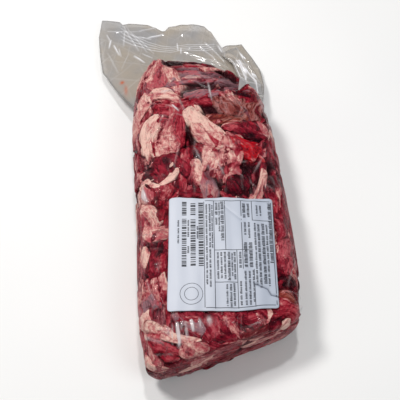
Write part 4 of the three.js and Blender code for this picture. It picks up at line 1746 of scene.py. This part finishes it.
@dataclass(frozen=True)
class RawMeatFinish:
    """Raw meat seen through tight wet film: lean, fat, sinew, veils, their grain and painted crevice
    shade.
    """

    lean: tuple = (
        (0, (14, 1, 4)), (0.25, (38, 2, 10)), (0.45, (74, 5, 20)), (0.62, (110, 10, 29)),
        (0.8, (142, 30, 46)), (1, (176, 80, 88)),
    )
    fat: tuple = (
        (0, (112, 18, 32)), (0.3, (154, 60, 68)), (0.55, (186, 110, 110)),
        (0.76, (210, 150, 142)), (0.94, (230, 190, 176)),
    )
    amber: tuple = ((0.36, (84, 22, 22)), (0.5, (136, 58, 44)), (0.62, (170, 112, 102)))
    veil: tuple = (140, 104, 112)
    vivid: tuple = ((0.3, (136, 5, 18)), (0.6, (190, 16, 30)), (0.85, (206, 74, 72)))
    # the colour of the painted shade in crevices and deep under the film
    crevice_shade: tuple = (24, 1, 5)

    def build(self) -> bpy.types.Material:
        """Build the material from the numbers stored on the meat."""
        sheet = NodeSheet("raw_meat")
        fat, tone, veil = sheet.parts(sheet.attribute("flesh").outputs["Vector"])
        amber, vivid, depth = sheet.parts(sheet.attribute("accent").outputs["Vector"])
        at = sheet.attribute("grain").outputs["Vector"]
        fibre = sheet.noise(at, (0.035, 0.33, 0.33), detail=5.0, rough=0.65, bent=0.5)
        region = sheet.noise(at, (0.04, 0.11, 0.11), detail=3.0, rough=0.5, bent=1.6)
        seam = sheet.noise(at, (0.05, 0.13, 0.13), detail=2.0, rough=0.5, bent=2.2)
        painted_crevice = sheet.noise(at, (0.045, 0.17, 0.17), detail=2.0, rough=0.5, bent=1.2)
        mottle = sheet.noise(at, 0.2, detail=4.0, rough=0.6, bent=0.8)
        speck = sheet.noise(at, 0.7, detail=3.0, rough=0.6, bent=0.4)
        tone = sheet.total(tone, sheet.centred(fibre, 1.2), sheet.centred(mottle, 0.9))
        lean_colour = sheet.ramp(sheet.clamp01(tone), self.lean)
        vein = sheet.product(sheet.thin_lines(seam, 0.5, 26.0), sheet.line01(fat, 2.0, 0.1))
        cover = sheet.total(
            fat,
            sheet.centred(region, 1.15),
            sheet.centred(mottle, 0.6),
            sheet.centred(fibre, 0.4),
            sheet.product(vein, 0.3),
        )
        fat_share = sheet.line01(cover, 4.6, -1.4)
        level = sheet.line(sheet.clamp01(cover), 0.82, 0.12)
        level = sheet.total(level, sheet.centred(fibre, 0.8), sheet.centred(mottle, 0.9))
        fat_colour = sheet.ramp(sheet.clamp01(level), self.fat)
        vivid_share = sheet.clamp01(sheet.product(vivid, sheet.line(mottle, 6.0, -2.0)))
        colour = sheet.mix(vivid_share, lean_colour, sheet.ramp(fibre, self.vivid))
        amber_share = sheet.product(sheet.total(amber, sheet.centred(mottle, 0.5)), amber)
        colour = sheet.mix(sheet.clamp01(amber_share), colour, sheet.ramp(region, self.amber))
        colour = sheet.mix(fat_share, colour, fat_colour)
        veil_share = sheet.clamp01(sheet.product(veil, sheet.line(region, 3.2, -1.2)))
        colour = sheet.mix(veil_share, colour, self.veil)
        # painted shade: thin dark crevice lines, and meat darkened where it lies deep under the film
        painted_crevice = sheet.product(sheet.thin_lines(painted_crevice, 0.46, 30.0), sheet.line(fat_share, -0.4, 0.8))
        sunk = sheet.product(sheet.line01(depth, 3.0, -0.75), 0.92)
        colour = sheet.mix(sheet.math("MAXIMUM", sunk, painted_crevice), colour, self.crevice_shade)
        sheet.join(colour, sheet.shader.inputs["Base Color"])
        sheet.join(sheet.line(speck, 0.36, 0.12), sheet.shader.inputs["Roughness"])
        sheet.set(Specular_IOR_Level=0.22, Specular_Tint=(1.0, 0.42, 0.5, 1.0), IOR=1.38)
        relief = sheet.total(fibre, sheet.product(mottle, 1.4), sheet.product(cover, 0.5))
        sheet.bump(relief, 1.2, 0.8)
        return sheet.material


@dataclass(frozen=True)
class TightFilmFinish:
    """Film drawn tight: almost clear, with gloss, milky on its folds, and white at painted glints."""

    clear: float = 0.0034
    milky: float = 0.3
    whitest: float = 0.36
    thin: tuple = (236, 172, 174)
    thick: tuple = (236, 226, 228)

    def build(self) -> bpy.types.Material:
        """Build the material; its opacity follows the folds stored on the film."""
        sheet = NodeSheet("tight_film")
        haze_and_glint, place = sheet.stored("haze_and_glint"), sheet.place()
        patch = sheet.noise(place, 60.0, detail=3.0)
        fine = sheet.noise(place, 420.0, detail=2.0)
        # strong folds turn the film opaque white, some of them painted glints
        cloud = sheet.clamp01(sheet.product(haze_and_glint, sheet.line(patch, 3.0, -0.7)))
        alpha = sheet.line(cloud, sheet.line(cloud, self.whitest, self.milky), self.clear)
        sheet.join(alpha, sheet.shader.inputs["Alpha"])
        sheet.join(sheet.math("DIVIDE", self.clear, alpha), sheet.shader.inputs["Metallic"])
        colour = sheet.mix(sheet.clamp01(sheet.product(haze_and_glint, 3.0)), self.thin, self.thick)
        sheet.join(colour, sheet.shader.inputs["Base Color"])
        sheet.set(Roughness=0.06, Specular_IOR_Level=0.3)
        long = sheet.noise(place, (260.0, 60.0, 120.0), detail=1.0, rough=0.5, bent=0.8)
        wide = sheet.noise(place, (70.0, 280.0, 120.0), detail=1.0, rough=0.5, bent=0.8)
        sheet.bump(sheet.total(long, wide, sheet.product(fine, 0.04)), 0.6, 0.7)
        return sheet.material


@dataclass(frozen=True)
class LooseFilmFinish:
    """Loose film of the flap: grey-beige, see-through, whiter where creased and at painted glints."""

    body: tuple = (184, 174, 161)
    cool: tuple = (172, 170, 170)
    dark: tuple = (104, 104, 106)
    crease: tuple = (240, 240, 244)
    stain: tuple = (196, 92, 48)
    opacity: float = 0.6

    def build(self) -> bpy.types.Material:
        """Build the material; its opacity and colour follow the stored creases and the painted glints
        and shadow.
        """
        sheet = NodeSheet("loose_film")
        haze_and_glint, stain, rim = sheet.stored("haze_and_glint"), sheet.stored("stain"), sheet.stored("rim")
        place = sheet.place()
        patch = sheet.noise(place, 22.0, detail=2.0)
        fine = sheet.noise(place, 300.0, detail=3.0)
        body = sheet.ramp(patch, ((0.35, self.cool), (0.6, self.body)))
        # darker at edges and on the fold's painted crease shadow; whiter at creases and painted glints
        colour = sheet.mix(sheet.product(rim, 0.55), body, self.dark)
        colour = sheet.mix(sheet.clamp01(haze_and_glint), colour, self.crease)
        colour = sheet.mix(sheet.clamp01(stain), colour, self.stain)
        sheet.join(colour, sheet.shader.inputs["Base Color"])
        alpha = sheet.total(
            sheet.line(haze_and_glint, 0.35, self.opacity),
            sheet.centred(patch, 0.3),
            sheet.product(stain, 0.3),
            sheet.product(rim, 0.12),
        )
        sheet.join(sheet.clamp01(alpha), sheet.shader.inputs["Alpha"])
        sheet.set(Roughness=0.14, IOR=1.5, Coat_Weight=1.0, Coat_Roughness=0.04)
        sheet.bump(sheet.total(patch, sheet.product(fine, 0.15)), 0.8, 0.5)
        return sheet.material


@dataclass(frozen=True)
class PaperFinish:
    """White label paper, faintly blue, with painted shade darker to its right and fine tooth."""

    light: tuple = (190, 195, 207)
    shade: tuple = (170, 178, 193)
    crease: tuple = (84, 91, 106)

    def build(self) -> bpy.types.Material:
        """Build the material; its painted shade and painted crease shadow are stored on the paper."""
        sheet = NodeSheet("label_paper")
        place = sheet.place()
        broad = sheet.noise(place, 28.0, detail=2.0)
        tooth = sheet.noise(place, 900.0, detail=2.0)
        # painted shade: the paper darker towards its right; painted shadow: a dark line along its
        # creases
        shade = sheet.total(sheet.stored("shade"), sheet.line(broad, 0.9, -0.5))
        colour = sheet.mix(sheet.clamp01(shade), self.light, self.shade)
        colour = sheet.mix(sheet.line01(sheet.stored("fold"), 1.5, -0.5), colour, self.crease)
        sheet.join(colour, sheet.shader.inputs["Base Color"])
        sheet.set(Roughness=0.45)
        sheet.bump(sheet.total(tooth, sheet.product(broad, 3.0)), 0.12, 0.5)
        return sheet.material


@dataclass(frozen=True)
class InkFinish:
    """Thermal print, from near black bars to grey dashes."""

    dark: tuple = (26, 29, 38)
    pale: tuple = (96, 102, 116)

    def build(self) -> bpy.types.Material:
        """Build the material; its shade is stored on the print."""
        sheet = NodeSheet("label_ink")
        wear = sheet.noise(sheet.place(), 500.0, detail=2.0)
        shade = sheet.total(sheet.stored("shade"), sheet.centred(wear, 0.4))
        colour = sheet.mix(sheet.clamp01(shade), self.dark, self.pale)
        sheet.join(colour, sheet.shader.inputs["Base Color"])
        sheet.set(Roughness=0.55)
        return sheet.material


@dataclass(frozen=True)
class FloorFinish:
    """A plain pale floor with the faintest unevenness."""

    light: tuple = (244, 244, 243)
    shade: tuple = (240, 240, 240)

    def build(self) -> bpy.types.Material:
        """Build the material."""
        sheet = NodeSheet("pale_floor")
        patch = sheet.noise(sheet.place(), 3.0, detail=2.0)
        colour = sheet.ramp(patch, ((0.35, self.shade), (0.65, self.light)))
        sheet.join(colour, sheet.shader.inputs["Base Color"])
        sheet.set(Roughness=0.7)
        return sheet.material


@dataclass
class Studio:
    """The floor, the soft lights and the camera at the photograph's angle."""

    form: BagForm
    label: LabelPlace
    elevation: float = np.radians(60.0)
    azimuth: float = np.radians(-5.9)
    distance: float = 640.0
    label_height: float = 62.0
    focal_pixels: float = 681.0
    picture_pixels: float = 400.0
    label_pixel: Pair = (222.0, 253.5)
    sensor: float = 36.0
    surround: float = 0.24
    floor_side: float = 6.0
    floor_points: int = 24
    lights: tuple[tuple, ...] = (
        ("key_light", (-0.6, 0.4, 1.25), 0.3, 12.0, (1.0, 0.98, 0.96)),
        ("fill_light", (0.8, -0.7, 1.1), 0.7, 4.5, (0.96, 0.98, 1.0)),
        ("glint_light", (0.1, 0.45, 1.5), 0.11, 6.6, (1.0, 1.0, 1.0)),
    )

    def make_floor(self) -> None:
        """Build a wide floor at the ground."""
        half, count = self.floor_side / 2.0, self.floor_points
        x, y = sheet_grid(-half, half, count, count)
        floor = make_object("floor", joined(x, y, 0.0), sheet_faces(count, count))
        floor.data.materials.append(FloorFinish().build())

    def make_light(self, name: str, place: tuple, size: float, power: float, colour: tuple) -> None:
        """Add a square soft light that faces the pack.

        Args:
            name: the light's name.
            place: where it stands, in metres.
            size: its side in metres.
            power: its power in watts.
            colour: its colour.
        """
        lamp = bpy.data.lights.new(name, "AREA")
        lamp.size = size
        lamp.energy = power
        lamp.color = colour
        made = bpy.data.objects.new(name, lamp)
        made.location = place
        towards = made.location.to_track_quat("Z", "Y")
        made.rotation_euler = towards.to_euler()
        bpy.context.scene.collection.objects.link(made)

    def make_lights(self) -> None:
        """Add the lights and a pale surround."""
        for row in self.lights:
            self.make_light(*row)
        world = bpy.data.worlds.new("surround")
        world.use_nodes = True
        surround = world.node_tree.nodes["Background"]
        surround.inputs["Color"].default_value = (1.0, 1.0, 1.0, 1.0)
        surround.inputs["Strength"].default_value = self.surround
        bpy.context.scene.world = world

    def make_camera(self) -> None:
        """Place the camera so that the label's centre falls where the photograph has it.

        The direction to the label is the view axis plus its offset in the picture over the
        focal length, and the camera stands back along it by the distance.
        """
        cos, sin = np.cos(self.elevation), np.sin(self.elevation)
        back = np.array([np.sin(self.azimuth) * cos, -np.cos(self.azimuth) * cos, sin])
        right = np.cross(-back, [0.0, 0.0, 1.0])
        right /= np.linalg.norm(right)
        up = np.cross(right, -back)
        middle = self.picture_pixels / 2.0
        aside = (self.label_pixel[0] - middle) / self.focal_pixels
        below = (self.label_pixel[1] - middle) / self.focal_pixels
        sight = -back + right * aside - up * below
        plan = np.array(self.label.centre) + np.array(self.form.origin)
        place = np.array([*plan, self.label_height]) - sight * self.distance
        camera_data = bpy.data.cameras.new("camera")
        camera_data.sensor_width = self.sensor
        camera_data.lens = self.focal_pixels / self.picture_pixels * self.sensor
        camera_data.clip_start = 0.01
        camera = bpy.data.objects.new("camera", camera_data)
        turned = Matrix(np.stack([right, up, back], axis=1).tolist()).to_4x4()
        camera.matrix_world = Matrix.Translation((place * MM).tolist()) @ turned
        bpy.context.scene.collection.objects.link(camera)
        bpy.context.scene.camera = camera


def dress(piece: Object, finish: bpy.types.Material, slot: str, *nodes: str) -> None:
    """Give a piece its material and let it stand for the solids it replaces."""
    piece.data.materials.append(finish)
    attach(piece, "root")
    if nodes:
        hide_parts(*nodes)
    log.info("%s: %d points", piece.name, len(piece.data.vertices))


def form_in_frame(label: LabelPlace) -> BagForm:
    """Return the bag's form with its middle found from the label's box in the frame."""
    low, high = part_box("label")
    middle_x = (low.x + high.x) / 2.0 / MM
    middle_y = (low.y + high.y) / 2.0 / MM
    return BagForm(origin=(middle_x - label.centre[0], middle_y - label.centre[1]))


def make_meat(layout: MeatLayout) -> Array:
    """Build all the meat and return its points on the straight form."""
    finish = RawMeatFinish().build()
    pieces = MeatPieces(layout)
    shown, courses = layout.shown(), layout.courses()
    look = shown.look
    fatty = look[:, 1] > 0.3
    veiled = (look[:, 2] > 0.1) | (look[:, 3] > 0.1)
    upward = courses.axes[:, 2, 2]
    ends = np.abs(courses.axes[:, 2, 1]) > 0.5
    groups = (
        ("lean_pieces", shown.part(~fatty & ~veiled), 38, 44, 101),
        ("fat_pieces", shown.part(fatty), 38, 42, 201),
        ("sinew_pieces", shown.part(~fatty & veiled), 38, 44, 301),
        ("upper_pieces", courses.part((upward > 0.5) & ~ends), 24, 30, 401),
        ("side_pieces", courses.part((np.abs(upward) <= 0.5) & ~ends), 34, 44, 501),
        ("end_pieces", courses.part(ends), 34, 44, 601),
        ("under_pieces", courses.part((upward < -0.5) & ~ends), 24, 32, 701),
    )
    points = []
    for name, lumps, rows, columns, seed in groups:
        piece, straight = pieces.make(name, lumps, rows, columns, seed)
        dress(piece, finish, "meat", "bag")
        points.append(straight)
    dress(pieces.make_core(), finish, "meat", "bag")
    return np.concatenate(points)


def main() -> None:
    """Build the pack, the studio and the camera in order."""
    logging.basicConfig(level=logging.INFO, format="%(name)s: %(message)s")
    label = LabelPlace()
    form = form_in_frame(label)
    layout = MeatLayout(form, label)
    meat = make_meat(layout)
    skin = make_film_skin(FilmSkin(layout), Pleats(), meat)
    dress(skin, TightFilmFinish().build(), "film", "bag")
    flap = FilmFlap(form)
    loose = LooseFilmFinish().build()
    dress(flap.make(), loose, "film", "bag")
    dress(flap.make_fold(), loose, "film", "bag")
    paper = LabelPaper(form, label)
    dress(paper.make_paper(), PaperFinish().build(), "paper", "label")
    dress(paper.make_print(), InkFinish().build(), "print")
    studio = Studio(form, label)
    studio.make_floor()
    studio.make_lights()
    studio.make_camera()
    bpy.context.scene.view_settings.view_transform = "Standard"


if __name__ == "__main__":
    main()
